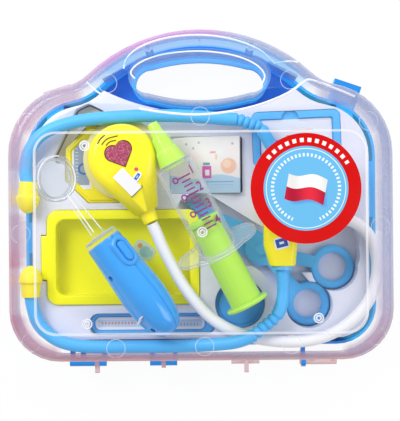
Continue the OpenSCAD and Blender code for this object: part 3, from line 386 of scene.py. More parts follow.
def moulded(name, colour, rough, peel, cloud, coat, paint=None, gloss=0.4):
    """A moulded plastic. paint(tree, colour) may return a printed colour."""
    material, tree = new_material(name)
    flow = noise(tree, FLOW_SCALE, 3)
    speckle = noise(tree, PEEL_SCALE)
    light = tuple(min(1, c * (1 + cloud) + 0.01) for c in rgb(*colour))
    dark = tuple(c * (1 - cloud) for c in rgb(*colour))
    base = blend_colours(tree, flow, dark, light)
    if paint:
        base = paint(tree, base)
    skin_bump = (peel, PEEL_DEPTH, speckle + flow * 2)
    output(tree, plastic(tree, base, rough + (flow - 0.5) * 0.12, skin_bump, gloss,
                         **{"Coat Weight": coat, "Coat Roughness": 0.08}))
    return material


def paint_glow(material, colour, strength):
    """Paints a faint glow (emission) on a wall's inside as painted light, but not on its back or its tabs."""
    tree = material.node_tree
    x, y, z = local_mm(tree)
    off_tabs = x.absolute().below(97, 3).most(y.below(72, 3)) * (y * -1).below(99, 2)
    painted_glow = blend_colours(tree, z.grow(3, 2) * off_tabs, (0.0, 0.0, 0.0), rgb(*colour))
    shader = next(n for n in tree.nodes if n.type == "BSDF_PRINCIPLED")
    tree.links.new(painted_glow.socket, shader.inputs["Emission Color"])
    shader.inputs["Emission Strength"].default_value = strength


PLASTICS = {    # finish: name, screen colour, roughness, peel, cloud, coat
    "base": ("moulded_base_blue", (34, 140, 228), 0.22, 0.04, 0.06, 0.3),
    "sheet": ("formed_white_sheet", (222, 225, 242), 0.25, 0.03, 0.03, 0.2),
    "yellow": ("moulded_yellow", (255, 238, 28), 0.28, 0.04, 0.04, 0.2),
    "dish": ("moulded_dish_yellow", (250, 246, 14), 0.3, 0.04, 0.05, 0.2),
    "cream": ("cloudy_cream", (224, 219, 192), 0.35, 0.04, 0.04, 0.1),
    "rim": ("cloudy_rim", (228, 220, 150), 0.3, 0.03, 0.05, 0.2),
    "light_blue": ("moulded_light_blue", (96, 186, 248), 0.28, 0.04, 0.05, 0.2),
    "scissor": ("moulded_scissor_blue", (92, 190, 255), 0.28, 0.04, 0.05, 0.2),
    "jar": ("moulded_jar_blue", (70, 158, 226), 0.2, 0.03, 0.05, 0.3),
    "handle": ("moulded_handle_blue", (56, 162, 244), 0.2, 0.03, 0.05, 0.9),
    "hose": ("soft_white_hose", (240, 240, 246), 0.4, 0.03, 0.02, 0.0),
    "tube": ("soft_blue_tube", (80, 184, 250), 0.42, 0.05, 0.05, 0.0),
    "tip": ("soft_yellow_tip", (255, 238, 50), 0.4, 0.04, 0.04, 0.0),
    "green": ("moulded_green", (178, 230, 84), 0.25, 0.03, 0.05, 0.2),
    "white": ("white_film", (244, 244, 247), 0.35, 0.02, 0.02, 0.0),
    "board": ("circuit_board", (38, 120, 60), 0.5, 0.1, 0.1, 0.0),
    "speaker": ("speaker_black", (48, 48, 52), 0.5, 0.1, 0.1, 0.0),
    "ink": ("purple_ink", (140, 30, 130), 0.4, 0.02, 0.04, 0.0),
    "nozzle": ("clear_green", (196, 244, 92), 0.22, 0.03, 0.05, 0.3),
    "lamp": ("lamp_lens", (245, 240, 200), 0.2, 0.02, 0.04, 0.4),
    # A painted highlight: white for strips laid where clear steps and the stem catch the light.
    "glint": ("bright_step", (246, 246, 252), 0.2, 0.02, 0.02, 0.4),
    "dark_ink": ("dark_ink", (84, 66, 24), 0.5, 0.02, 0.04, 0.0),
}
finishes = {key: moulded(*row) for key, row in PLASTICS.items()}
# Painted light: the base's inside glows faintly, an emission that stands in for light its deep well lacks.
paint_glow(finishes["base"], (62, 190, 208), 0.42)
print("plastics:", len(finishes))

# %% [markdown]
# ## Clear plastic
#
# A refracting lid over a full case renders dark and noisy, and the real wall
# is thin. So the clear parts let rays straight through and add a gloss layer
# that grows towards grazing angles, where a thin wall shows its own tint.


# %% Clear plastic
def clear(name, tint, edge_colour, least, most, sharp, rough=0.06):
    """A thin clear wall: its gloss grows from least to most, the later the sharper."""
    material, tree = new_material(name)
    ripple = noise(tree, 60)
    pale = tuple(min(1, c * 1.12) for c in rgb(*edge_colour))
    colour = blend_colours(tree, ripple, rgb(*edge_colour), pale)
    gloss = plastic(tree, colour, rough, (0.08, 0.001, ripple), 0.6)
    share = facing(tree) ** sharp * (most - least) + least
    output(tree, mix_shaders(tree, share, transparent(tree, tint), gloss))
    return material


CLEAR = {
    "clear": clear("clear_part", (0.995, 0.998, 1.0), (222, 226, 236), 0.015, 0.8, 2.6),
    "mirror": clear("mirror_film", (0.93, 0.95, 0.97), (206, 212, 222), 0.3, 0.7, 2.0, 0.12),
    "line": clear("moulded_line", (0.99, 0.99, 0.99), (244, 244, 250), 0.55, 0.9, 1.0, 0.2),
    "edge": clear("glossy_edge", (0.98, 0.98, 0.99), (178, 184, 196), 0.5, 0.9, 1.0, 0.1),
}
finishes["steel"], tree = new_material("cell_steel")
output(tree, add_node(tree, "ShaderNodeBsdfPrincipled", {
    "Base Color": rgb(196, 198, 203), "Metallic": 1.0, "Roughness": 0.25 + noise(tree, 400, 3) * 0.2}))
print("clear and metal finishes added")

# %% [markdown]
# ## The lid's plastic
#
# The lid looks almost clear in the middle and milky pink, mauve and grey
# towards its rim, where its walls are seen edge on. A mask grows outwards from
# the window, and a second one warms the colour from place to place. Two thin
# veils tint what is seen through it: mauve at the rim and blue round the grip.


# %% Lid plastic
def lid_plastic():
    material, tree = new_material("clear_lid")
    x, y, z = local_mm(tree)
    side, left, low = x.absolute(), x * -1, y * -1
    flow = noise(tree, 22, 3)
    streak = noise(tree, 90)
    # Distances from the middles of the handle's arch, a shoulder and a lower corner.
    arch = distance(x, y, 0, 7.1)
    shoulder = distance(side, y, 84, 34.5)
    corner = distance(side, low, 95, 72)

    tips = (y.between(-4, 27, 4) + y.between(-75, -40, 4)) * left.grow(90, 5)
    rim = (side.grow(118, 6) * 0.7 + side.grow(108, 8) * 0.15) * (1 - tips * 0.75)
    for part in (low.grow(100.5, 4), arch.grow(106, 6) * y.grow(70, 12),
                 corner.grow(23.5, 5) * side.grow(95, 6) * low.grow(72, 6) * 0.9,
                 shoulder.grow(33, 5) * y.grow(44, 8) * side.grow(78, 8) * 0.8):
        rim = rim.most(part)
    rim = rim * (z.grow(50, 8) * 0.85 + 0.15)
    # The raised line round the window is painted near white and made less clear: a painted highlight along it.
    raised = z.grow(62.62, 0.1)
    grip = arch.grow(92, 5) * (1 - arch.grow(106, 2)) * y.grow(78, 14)

    warm = (left.grow(-30, 130) * 0.75 + low.grow(70, 35) * 0.55
            + x.grow(80, 50) * low.grow(10, 70) * 0.45 + (flow - 0.5) * 0.9)
    tint = add_node(tree, "ShaderNodeValToRGB", {"Fac": warm}, stops=[
        (0.0, (172, 180, 208)), (0.35, (180, 174, 198)), (0.7, (188, 164, 184)), (1.0, (206, 160, 176))])
    tint = printed(
        tree, tint, (left.grow(118, 12) * y.between(-78, -22, 18) * 0.75, (200, 96, 122)),
        (low.grow(103, 3) * 0.7, (226, 166, 158)),
        (arch.grow(107, 3) * y.grow(84, 14) * x.between(-90, 30, 25) * 0.85, (206, 140, 202)),
        (raised, (244, 244, 250)))
    gloss = plastic(tree, tint, 0.08 + streak * 0.06, (0.12, 0.001, flow + streak * 0.3), 0.6)

    through = transparent(tree, (0.994, 0.994, 0.997))
    for mask, colour in ((rim.least(1.0) * 0.8, (0.80, 0.76, 0.84)), (grip * 0.9, (0.60, 0.80, 0.99))):
        through = mix_shaders(tree, mask, through, transparent(tree, colour))
    share = (facing(tree) ** 2.2 * 0.78 + 0.012 + rim * 0.42 * (streak * 0.9 + 0.55) + raised * 0.5
             + low.grow(108.6, 1) * 0.4)
    output(tree, mix_shaders(tree, share.least(0.92), through, gloss))
    return material


CLEAR["lid"] = lid_plastic()
finishes.update(CLEAR)
print("lid plastic mixed")

# %% [markdown]
# ## Helpers for shapes
#
# Three ways of building cover most pieces: rings of points joined into a skin,
# a softened or smooth copy of a solid, and a tube along a path.


# %% Shape helpers
def add_mesh(name, verts, faces, finish, body, slot, replaces=(), smooth=30, fix=True):
    """A finished piece from points in metres. fix joins loose faces and turns them outwards."""
    mesh = bpy.data.meshes.new(name)
    mesh.from_pydata([tuple(v) for v in verts], [], faces)
    return add_piece(name, mesh, finish, body, slot, replaces, smooth, fix)


def add_piece(name, mesh, finish, body, slot, replaces=(), smooth=30, fix=False):
    """A finished piece from a mesh. smooth is an angle in degrees, or None."""
    if fix:
        shape = bmesh.new()
        shape.from_mesh(mesh)
        bmesh.ops.remove_doubles(shape, verts=shape.verts, dist=1e-6)
        bmesh.ops.recalc_face_normals(shape, faces=shape.faces)
        shape.to_mesh(mesh)
        shape.free()
    piece = linked(name, mesh)
    mesh.materials.clear()
    mesh.materials.append(finishes[finish])
    if smooth:
        mesh.shade_smooth()
        mesh.set_sharp_from_angle(angle=math.radians(smooth))
    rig.ride(piece, body)
    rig.slot(piece, slot)
    if replaces:
        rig.replaces(piece, *replaces)
    return piece


def to_mesh(shape, name):
    """Ends an edit: the mesh of a bmesh shape."""
    mesh = bpy.data.meshes.new(name)
    shape.to_mesh(mesh)
    shape.free()
    return mesh


def baked(name, data, *modifiers):
    """The mesh that modifiers make of a mesh or a text. Each is (type, settings)."""
    scratch = linked("scratch", data)
    for kind, settings in modifiers:
        modifier = scratch.modifiers.new(kind, kind)
        for key, value in settings.items():
            if key.startswith("Socket_"):       # an input of its node tree
                modifier[key] = value
            else:
                setattr(modifier, key, value)
    bpy.context.view_layer.update()
    result = bpy.data.meshes.new_from_object(scratch.evaluated_get(bpy.context.evaluated_depsgraph_get()))
    result.name = name
    bpy.data.objects.remove(scratch)
    return result


def merged_copy(node):
    """A CAD solid's mesh with its loose triangles joined and flat areas made whole."""
    shape = bmesh.new()
    shape.from_mesh(solids[node].data)
    bmesh.ops.remove_doubles(shape, verts=shape.verts, dist=2e-6)
    bmesh.ops.dissolve_limit(shape, angle_limit=math.radians(1), verts=shape.verts, edges=shape.edges)
    return to_mesh(shape, node + "_copy")


def smooth_copy(node, finish, slot, angle=28):
    body = solids[node]["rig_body"]
    return add_piece("smooth_" + node, merged_copy(node), finish, body, slot, (node,), angle)


def soften(node, finish, slot, width=0.6, segments=3, angle=35, wider=0.0):
    """Replaces a solid by its copy with rounded edges, a little wider in plan if asked."""
    mesh = baked("soft_" + node, merged_copy(node), ("BEVEL", {
        "width": mm(width), "segments": segments, "limit_method": "ANGLE",
        "angle_limit": math.radians(angle), "harden_normals": False, "use_clamp_overlap": True}))
    if wider:
        low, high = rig.box(node)
        for i in range(2):
            middle = (low[i] + high[i]) / 2
            grown = 1 + 2 * mm(wider) / (high[i] - low[i])
            for vertex in mesh.vertices:
                vertex.co[i] = middle + (vertex.co[i] - middle) * grown
    return add_piece("soft_" + node, mesh, finish, solids[node]["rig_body"], slot, (node,), 40)


def dress(finish, *nodes):
    """Gives CAD solids that stay a better material."""
    for node in nodes:
        slots = solids[node].data.materials
        slots.clear()
        slots.append(finishes[finish])


def skin(rings):
    """Points and faces of a closed skin over rings that all have the same count."""
    count = len(rings[0])
    last = (len(rings) - 1) * count
    faces = [(i + k, i + (k + 1) % count, i + (k + 1) % count + count, i + k + count)
             for i in range(0, last, count) for k in range(count)]
    faces += [tuple(reversed(range(count))), tuple(range(last, last + count))]
    return [p for ring in rings for p in ring], faces


def circle(count):
    """Angles all the way round."""
    return [2 * math.pi * k / count for k in range(count)]


def curve_through(points, steps):
    """A smooth curve through points."""
    points = [Vector(p) for p in points]
    out = []
    for i in range(len(points) - 1):
        a, b = points[max(i - 1, 0)], points[i]
        c, d = points[i + 1], points[min(i + 2, len(points) - 1)]
        for k in range(steps):
            t = k / steps
            out.append(0.5 * (2 * b + t * (c - a) + t * t * (2 * a - 5 * b + 4 * c - d)
                              + t ** 3 * (3 * b - a - 3 * c + d)))
    return out + [points[-1]]


def tube(path, radii, sides):
    """Rings round a path of points in millimetres, in metres."""
    rings = []
    for i, point in enumerate(path):
        along = (path[min(i + 1, len(path) - 1)] - path[max(i - 1, 0)]).normalized()
        side = Vector((0, 0, 1)).cross(along).normalized()
        up = along.cross(side)
        rings.append([(point + radii[i] * (math.cos(a) * side + math.sin(a) * up)) / 1000
                      for a in circle(sides)])
    return rings


def strand(name, path, radius, finish, body, slot):
    """A thin line along a path in millimetres."""
    return add_mesh(name, *skin(tube(path, [radius] * len(path), 8)), finish, body, slot)


def at(where, turn=0, tilt=0, roll=0):
    """Place and direction of a part: millimetres and degrees."""
    return (Matrix.Translation(mm(*where)) @ Matrix.Rotation(math.radians(turn), 4, "Z")
            @ Matrix.Rotation(math.radians(tilt), 4, "Y") @ Matrix.Rotation(math.radians(roll), 4, "X"))


# %% [markdown]
# ## The white hose
#
# The hose is a real cord: a soft tube of fixed length. It repeats the route of
# the solid, point for point, and a smooth curve through the points gives it
# its even bends.

# %% The white hose
HOSE_ROUTE = [
    (-34.6, -13, 36), (-31.5, -20, 35), (-27, -31, 33.2), (-21, -43, 31.4), (-14.5, -55, 30.8),
    (-7, -66, 30.7), (1, -75.5, 29.8), (10, -83.5, 29), (20, -89.5, 28.7), (32, -94, 28.7),
    (45, -97, 28.8), (60, -98.5, 28.8), (75, -98, 28.9), (89, -94.5, 29), (101.5, -88, 29),
    (112, -79, 29.2), (119.5, -69, 29.4), (124, -57, 29.6), (125.5, -45, 29.9), (124, -33.5, 30.3),
    (119.5, -23, 30.9), (112, -15.5, 31.6), (102, -11, 32.3), (92, -9, 32.8), (80, -8, 33.2),
    (68.5, -8, 33.3)]
HOSE_THICK = 8.5
hose_path = curve_through(HOSE_ROUTE, 6)
hose_length = sum((b - a).length for a, b in zip(hose_path, hose_path[1:])) / 1000
hose = add_mesh("white_hose", *skin(tube(hose_path, [HOSE_THICK / 2] * len(hose_path), 24)),
                "hose", "case", "hose_white", ("stethoscope_hose",))
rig.cord(hose, exit=tuple(hose_path[0] / 1000), length=hose_length, diameter=mm(HOSE_THICK),
        far_end="object", stiffness="medium", lay="loose", path=[tuple(p / 1000) for p in hose_path])
print("hose length", round(hose_length, 3), "m")

# %% [markdown]
# ## Finishes of the solids that stay
#
# Solids whose shape is already right only need their plastic. The others are
# replaced further down by softer or rounder copies.

# %% Dress the solids
dress("yellow", "hose_ferrule")
dress("cream", "gauge_hoop")
dress("light_blue", "tube_flange")
dress("scissor", "scissor_rivet")
dress("jar", "pill_jar")
dress("white", "head_pull_tab", "light_pull_tab")
dress("board", "head_circuit_board", "light_circuit_board")
dress("speaker", "head_speaker")
dress("steel", "head_button_cells", "light_button_cells", "light_screws")
dress("lamp", "light_lamp")

# %% [markdown]
# ## Case shells and softer copies
#
# The base and the lid are injection moulded, with even curves. The solids have
# flat facets there. A copy with merged points and smooth shading keeps every
# edge and lets the curves run evenly, which is simpler than lofting them anew.
# The other pieces get rounded edges by a bevel.

# %% Smooth and soft copies
smooth_copy("base_shell", "base", "blue_shell")
smooth_copy("lid_shell", "lid", "clear_lid")
soften("insert_tray", "sheet", "white_sheet", 0.5, 2, 30)
soften("dish", "dish", "dish_yellow", 0.9, 3, 30, 0.7)
soften("gauge_body", "yellow", "yellow_plastic", 0.8, wider=0.7)
soften("badge_frame", "light_blue", "light_blue", 0.8, wider=0.7)
soften("thermometer_body", "light_blue", "light_blue", wider=0.7)
soften("scissor_blade_a", "scissor", "scissor_blue", 0.7)
soften("scissor_blade_b", "scissor", "scissor_blue", 0.7)
soften("pill_jar_lid", "jar", "jar_blue", wider=0.7)
soften("hose_connector", "yellow", "yellow_plastic", 1.0, 4, 12)
soften("head_rim", "rim", "yellow_plastic", angle=40)
smooth_copy("head_front_shell", "yellow", "yellow_plastic", 40)
smooth_copy("head_back_shell", "yellow", "yellow_plastic", 40)
soften("syringe_plunger", "green", "syringe_green", 0.5)
soften("syringe_nozzle", "nozzle", "syringe_green", 0.4)
soften("syringe_barrel", "clear", "clear_parts", 0.5)
soften("mirror_head", "clear", "clear_parts", 0.4)
smooth_copy("mirror_glass", "mirror", "mirror_film")
soften("light_button", "handle", "light_handle_blue", 0.7)
print("copies made")

# %% [markdown]
# ## Geometry trees
#
# Two small node trees build what repeats: a ring on each point of a list, and
# a wire along each edge of a list. Both end with real geometry in its finish.


# %% Rings on points and wires on edges
def start_tree(name, takes, *lengths):
    """A tree that takes a geometry, lengths and a finish: the tree, its identifiers and its inputs."""
    group = bpy.data.node_groups.new(name, "GeometryNodeTree")
    ids = {}
    for key in (takes, *lengths, "Finish"):
        kind = {takes: "Geometry", "Finish": "Material"}.get(key, "Float")
        socket = group.interface.new_socket(name=key, in_out="INPUT", socket_type="NodeSocket" + kind)
        ids[key] = socket.identifier
    enter = group.nodes.new("NodeGroupInput")
    return group, ids, [Tap(group, enter.outputs[i]) for i in range(len(ids))]


def end_tree(group, geometry, finish):
    group.interface.new_socket(name="Geometry", in_out="OUTPUT", socket_type="NodeSocketGeometry")
    real = add_node(group, "GeometryNodeRealizeInstances", {"Geometry": geometry})
    done = add_node(group, "GeometryNodeSetMaterial", {"Geometry": real, "Material": finish})
    add_node(group, "NodeGroupOutput", {0: done})


def wire_along(group, path, radius, **more):
    section = add_node(group, "GeometryNodeCurvePrimitiveCircle", {"Resolution": 6, "Radius": radius})
    return add_node(group, "GeometryNodeCurveToMesh", {"Curve": path, "Profile Curve": section, **more})


def ring_tree():
    group, ids, (points, radius, wire, finish) = start_tree(
        "rings_on_points", "Points", "Ring radius", "Wire radius")
    ring = add_node(group, "GeometryNodeCurvePrimitiveCircle", {"Resolution": 40, "Radius": radius})
    hoop = wire_along(group, ring, wire)
    copies = add_node(group, "GeometryNodeInstanceOnPoints", {"Points": points, "Instance": hoop})
    end_tree(group, copies, finish)
    return group, ids


def wire_tree():
    group, ids, (edges, wire, finish) = start_tree("wire_on_edges", "Edges", "Wire radius")
    path = add_node(group, "GeometryNodeMeshToCurve", {"Mesh": edges})
    end_tree(group, wire_along(group, path, wire, **{"Fill Caps": True}), finish)
    return group, ids


def grown_piece(name, points, edges, grower, lengths, finish, body, slot):
    """The piece that a geometry tree grows from points and edges."""
    group, ids = grower
    seed = bpy.data.meshes.new(name + "_seed")
    seed.from_pydata(points, edges, [])
    inputs = {ids[key]: mm(value) for key, value in lengths.items()}
    mesh = baked(name, seed, ("NODES", {"node_group": group, **inputs, ids["Finish"]: finishes[finish]}))
    return add_piece(name, mesh, finish, body, slot, (), 60)


RINGS, WIRES = ring_tree(), wire_tree()


# %% [markdown]
# ## Glossy edges of clear pieces
#
# A thin clear wall shows little but its edges, so fine wires run along the
# sharp edges of the exam light's clear stem and of the syringe's barrel. Their
# grey gloss is a painted reflection of those edges.


# %% Glossy edges
def glossy_edges(node, wire):
    """Fine wires along a clear piece's sharp edges, just under its skin."""
    shape = bmesh.new()
    shape.from_mesh(merged_copy(node))
    shape.normal_update()
    sharp = [e for e in shape.edges if len(e.link_faces) == 2 and e.calc_face_angle() > math.radians(35)]
    number = {v: i for i, v in enumerate(dict.fromkeys(v for e in sharp for v in e.verts))}
    points = [v.co - v.normal * mm(wire) for v in number]
    edges = [(number[e.verts[0]], number[e.verts[1]]) for e in sharp]
    shape.free()
    return grown_piece(node + "_edges", points, edges, WIRES, {"Wire radius": wire}, "edge",
                       solids[node]["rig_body"], "clear_parts")


# Painted reflection: grey wires along the clear edges.
glossy_edges("mirror_head", 0.34)
glossy_edges("syringe_barrel", 0.3)

# %% [markdown]
# ## Marks of the mould
#
# Ejector pins leave thin rings on the inside of a clear lid, and small hollow
# posts show as bright dots. Their places are read off the photograph.

# %% Mould marks
PHOTO_MIDDLE = (200.8, 210)     # the pixel over x = 0 and y = PHOTO_Y
PHOTO_Y = -4.1
PHOTO_PIXELS = 421              # height of the photograph
LID_UNDER = 60.7


def from_photo(x, y, z):
    """The point at height z that the photograph shows at this pixel."""
    step = PICTURE_MM / PHOTO_PIXELS * (CAMERA_HEIGHT - z) / (CAMERA_HEIGHT - LID_FRONT)
    return ((x - PHOTO_MIDDLE[0]) * step, (PHOTO_MIDDLE[1] - y) * step + PHOTO_Y, z)


def lid_rings(name, pixels, radius, wire):
    points = [mm(*from_photo(x, y, LID_UNDER)) for x, y in pixels]
    return grown_piece(name, points, [], RINGS, {"Ring radius": radius, "Wire radius": wire}, "line", "lid",
                       "clear_lid")


ejector_marks = [(108.8, 82.5), (291, 80.5), (201, 116), (28.5, 120.7), (369.4, 122.3), (20.7, 232.6),
                 (380.5, 228.1), (30, 341), (375, 337), (114.8, 347.9), (203.6, 346.6), (290.8, 345.3)]
lid_rings("ejector_rings", ejector_marks, 6.3, 0.16)
post_marks = [(85, 144.8), (86.3, 323), (318, 319), (202.2, 232.2)]
lid_rings("post_rings_3", post_marks, 3.1, 0.55)
lid_rings("post_rings_2", post_marks, 1.6, 0.55)
print("mould marks:", len(ejector_marks) + len(post_marks))

# %% [markdown]
# ## Bright edges of the lid
#
# Where the lid steps round the handle, its thin steps catch the light as
# white lines. These are painted highlights: narrow white strips just under the lid's front.

# %% Painted highlights
STEP_Z = 60.2
LID_HIGHLIGHTS = {    # name: half width, pixels of the photograph
    "edge_grip": (0.75, [(125, 68), (128, 58), (138, 48.5), (155, 41), (175, 36.5), (198, 35), (222, 37),
                         (245, 43), (262, 51), (272, 60), (276, 64)]),
    "edge_hole": (0.55, [(136, 78), (132, 72), (137, 65), (150, 58), (170, 53), (200, 51), (228, 54),
                         (248, 60), (261, 68), (266, 77), (262, 86)]),
    "edge_right": (0.6, [(276, 64), (290, 62), (299, 63)]),
    "edge_brow": (0.85, [(140, 108), (165, 112), (195, 114.5), (225, 112.5), (252, 107.5), (275, 100),
                         (292, 92), (303, 84), (310, 80.5), (322, 84), (340, 91), (356, 98)]),
    "edge_left_brow": (0.6, [(88, 81), (96, 89), (105, 95)]),
}
# Each strip is a painted highlight in the white glint finish.
for name, (half, pixels) in LID_HIGHLIGHTS.items():
    path = curve_through([from_photo(x, y, STEP_Z) for x, y in pixels], 5)
    strand(name, path, half, "glint", "lid", "clear_lid")
print("bright edges laid")

# %% [markdown]
# ## Tubes of the stethoscope
#
# The soft tubes are extruded, so a tube with many sides along the smooth route
# is what they are. Their bellows are rounded beads: the radius swells and
# shrinks along the path.


# %% Blue tubes
UPPER_ROUTE = [
    (-122.3, 14, 32.8), (-124, 22, 32.9), (-123.8, 30, 33), (-121.5, 38, 33.2), (-116, 46.5, 33.5),
    (-107, 53.4, 34), (-90, 58.8, 34.6), (-72, 61.3, 34.9), (-50, 62.6, 34.9), (-36, 63, 34.6),
    (-18, 62.9, 34), (0, 62, 33.4), (19, 60.3, 33), (26, 60, 32.9)]
UPPER_TAIL = [(44, 52.5, 32.8), (50, 42, 32.9), (55.5, 32, 33.1), (57, 22, 33.3), (57, 12.4, 33.3)]
LOWER_TAIL = [(57.5, -44.4, 33.3), (58, -51, 33.4), (58.3, -58, 33.6), (57.8, -66, 34.3), (56, -73.5, 35.2),
              (53.2, -79, 36)]
LOWER_ROUTE = [
    (36.4, -92.5, 38.4), (30, -95.5, 38.3), (22, -97.8, 37), (12, -99.3, 33.6), (2, -100.2, 30.6),
    (-8, -100.8, 29.2), (-20, -101, 29), (-36, -101.1, 29), (-54, -101.1, 29), (-72, -101, 29),
    (-86, -100.3, 29), (-98, -98, 29), (-107, -93.5, 29.1), (-114, -86.5, 29.8),
    (-118.3, -78.5, 31), (-120.6, -69, 32.2), (-121.2, -62, 32.8)]
TUBE_R = 4.6
TUBE_SIDES = 28
GROOVE_R = 3.2
BEADS, BEAD_STEPS = 4, 10


def beads(start, end):
    """Points and radii of the bellows between two points. The power makes the beads blunt."""
    start, end = Vector(start), Vector(end)
    steps = BEAD_STEPS * BEADS
    places = [start.lerp(end, i / steps) for i in range(steps + 1)]
    swell = TUBE_R + 0.1 - GROOVE_R
    sizes = [GROOVE_R + swell * abs(math.sin(math.pi * i / BEAD_STEPS)) ** 0.6 for i in range(steps + 1)]
    return places, sizes


def blue_tube(name, node, first, bead_ends, last):
    first, last = curve_through(first, 6), curve_through(last, 6)
    places, sizes = beads(*bead_ends)
    radii = [TUBE_R] * len(first) + sizes + [TUBE_R] * len(last)
    rings = tube(first + places + last, radii, TUBE_SIDES)
    add_mesh(name, *skin(rings), "tube", "case", "tube_blue", (node,), 50)


blue_tube("upper_ear_tube", "ear_tube_upper", UPPER_ROUTE, ((27, 59.9, 32.9), (43, 54, 32.8)), UPPER_TAIL)
blue_tube("lower_ear_tube", "ear_tube_lower", LOWER_TAIL, ((52.2, -80.4, 36.2), (37.4, -91.8, 38.3)),
          LOWER_ROUTE)


# %% [markdown]
# ## Ear tips
#
# Each ear tip is soft plastic turned round its axis: a sleeve, a step and a
# rounded end. A turned profile with its corners cut once is the whole shape.

# %% Ear tips
TIP_PROFILE = [Vector(p) for p in (
    (0, 2), (0, 6.1), (0.4, 6.3), (5, 6.8), (9.6, 7.2), (10, 7.3), (10.3, 8.2), (11, 8.4), (14, 8.1),
    (18, 6.6), (20.6, 4.5), (22.2, 2), (22.5, 0.3))]        # place along the tip, radius
rounded = [TIP_PROFILE[0]]
for a, b in zip(TIP_PROFILE, TIP_PROFILE[1:]):
    rounded += [a * 0.75 + b * 0.25, a * 0.25 + b * 0.75]
rounded.append(TIP_PROFILE[-1])
for name, where, turn in (("upper", (-122, 17, 32.8), -93), ("lower", (-121.2, -65, 32.8), 90)):
    spot = at(where, turn)
    tip = [[spot @ mm(x, r * math.cos(a), r * math.sin(a)) for a in circle(40)] for x, r in rounded]
    add_mesh("soft_tip_" + name, *skin(tip), "tip", "case", "tip_yellow", ("ear_tip_" + name,), 50)
print("stethoscope dressed")

# %% [markdown]
# ## Handle of the exam light
#
# Two shells meet at a fine line round a plump handle, which lies rolled on its
# side. A loft of soft ovals gives the swelling. The screw holes and the slit
# of the battery tab are cut from it. Thin bright lines on the clear stem and
# round its ring stand for their highlights.

# %% Light handle
LIGHT_PLACE, LIGHT_TURN, LIGHT_ROLL = (-68.2, -25.6, 42.57), -53.6, 50
LYING = at(LIGHT_PLACE, LIGHT_TURN)
LIGHT = at(LIGHT_PLACE, LIGHT_TURN, 0, LIGHT_ROLL)
RING_TILT = 40
RING_AT = Matrix.Translation(LYING @ mm(-55, 0, 4)) @ Matrix.Rotation(math.radians(RING_TILT), 4, "Y")


def arc(radius, height, first, last):
    """Points of an arc between two angles, both in eighths of a radian."""
    return [(radius * math.cos(a / 8), radius * math.sin(a / 8), height) for a in range(first, last)]


for number, (points, base_at, radius) in enumerate((
        ([(-9, -1.2, 4.0), (-41, -0.4, 2.6)], LYING, 0.42), ([(-8, 4.2, 0.8), (-40, 2.7, 0.8)], LYING, 0.34),
        ([(-8, -4.2, 0.8), (-40, -2.7, 0.8)], LYING, 0.34),
        (arc(14.6, 2.5, -14, 6), RING_AT, 0.4), (arc(15.6, 2.3, 12, 30), RING_AT, 0.4))):
    strand("stem_shine_%d" % number, [(base_at @ mm(*p)) * 1000 for p in points], radius, "glint", "case",
           "clear_parts")

SECTIONS = [(0, 12.0, 12.0), (0.6, 12.6, 12.7), (8, 12.9, 13.1), (20, 13.9, 13.8), (34, 15.2, 14.3),
            (46, 16.0, 14.5), (57, 15.6, 14.0), (66, 14.2, 12.6), (72, 12.4, 10.7), (76, 10.0, 8.4),
            (78.4, 7.0, 5.8), (79.4, 3.6, 3.0)]     # place along the handle, half width, half height
SQUARE = 2.3                # 2 is an ellipse, more is squarer
HANDLE_SIDES = 96
SEAM = 0.94                 # how far the line between the shells is drawn in


def light_rings():
    out = []
    for x, half_wide, half_high in curve_through(SECTIONS, 3):
        ring = []
        for k, a in enumerate(circle(HANDLE_SIDES)):
            c, s = math.cos(a), math.sin(a)
            fat = (abs(c) ** SQUARE + abs(s) ** SQUARE) ** (-1 / SQUARE)
            seam = SEAM if k in (0, HANDLE_SIDES // 2) and x > 0.5 else 1.0
            ring.append(mm(x, half_wide * c * fat * seam, half_high * s * fat * seam))
        out.append(ring)
    return out


def bar_cutter(radius, length, matrix):
    shape = bmesh.new()
    bmesh.ops.create_cone(shape, cap_ends=True, segments=24, radius1=mm(radius), radius2=mm(radius),
                          depth=mm(length), matrix=matrix)
    return linked("cutter", to_mesh(shape, "cutter"))


def box_cutter(size, matrix):
    shape = bmesh.new()
    bmesh.ops.create_cube(shape, size=1.0, matrix=matrix @ Matrix.Diagonal((*mm(*size), 1)))
    return linked("cutter", to_mesh(shape, "cutter"))


handle_mesh = bpy.data.meshes.new("light_handle")
verts, faces = skin(light_rings())
handle_mesh.from_pydata(verts, [], faces)
SCREW_HOLE_R = 2.1
cutters = [bar_cutter(SCREW_HOLE_R, 12, at((24, 0, 16))), bar_cutter(SCREW_HOLE_R, 14, at((70, -0.5, 13))),
           box_cutter((0.9, 9.5, 12), at((59, 0, 14), 20))]     # the slit of the battery tab
handle_mesh = baked("light_handle", handle_mesh,
                    *[("BOOLEAN", {"object": cutter, "solver": "EXACT"}) for cutter in cutters])
for cutter in cutters:
    bpy.data.objects.remove(cutter)
handle_mesh.transform(LIGHT)
add_piece("light_handle", handle_mesh, "handle", "case", "light_handle_blue",
          ("light_front_shell", "light_back_shell"), 40, fix=True)


# %% [markdown]
# ## Pad round the light's button
#
# A long oval rim stands proud of the handle and frames the button. It is a
# stack of ovals: up the outside, over a rounded lip and down into the well.


# %% Button pad
def oval_ring(length, width, height):
    """Points of an oval in local X and Z at local height Y."""
    r = width / 2
    half = length / 2 - r
    return [(math.copysign(half, math.cos(a)) + r * math.cos(a), height, r * math.sin(a)) for a in circle(48)]


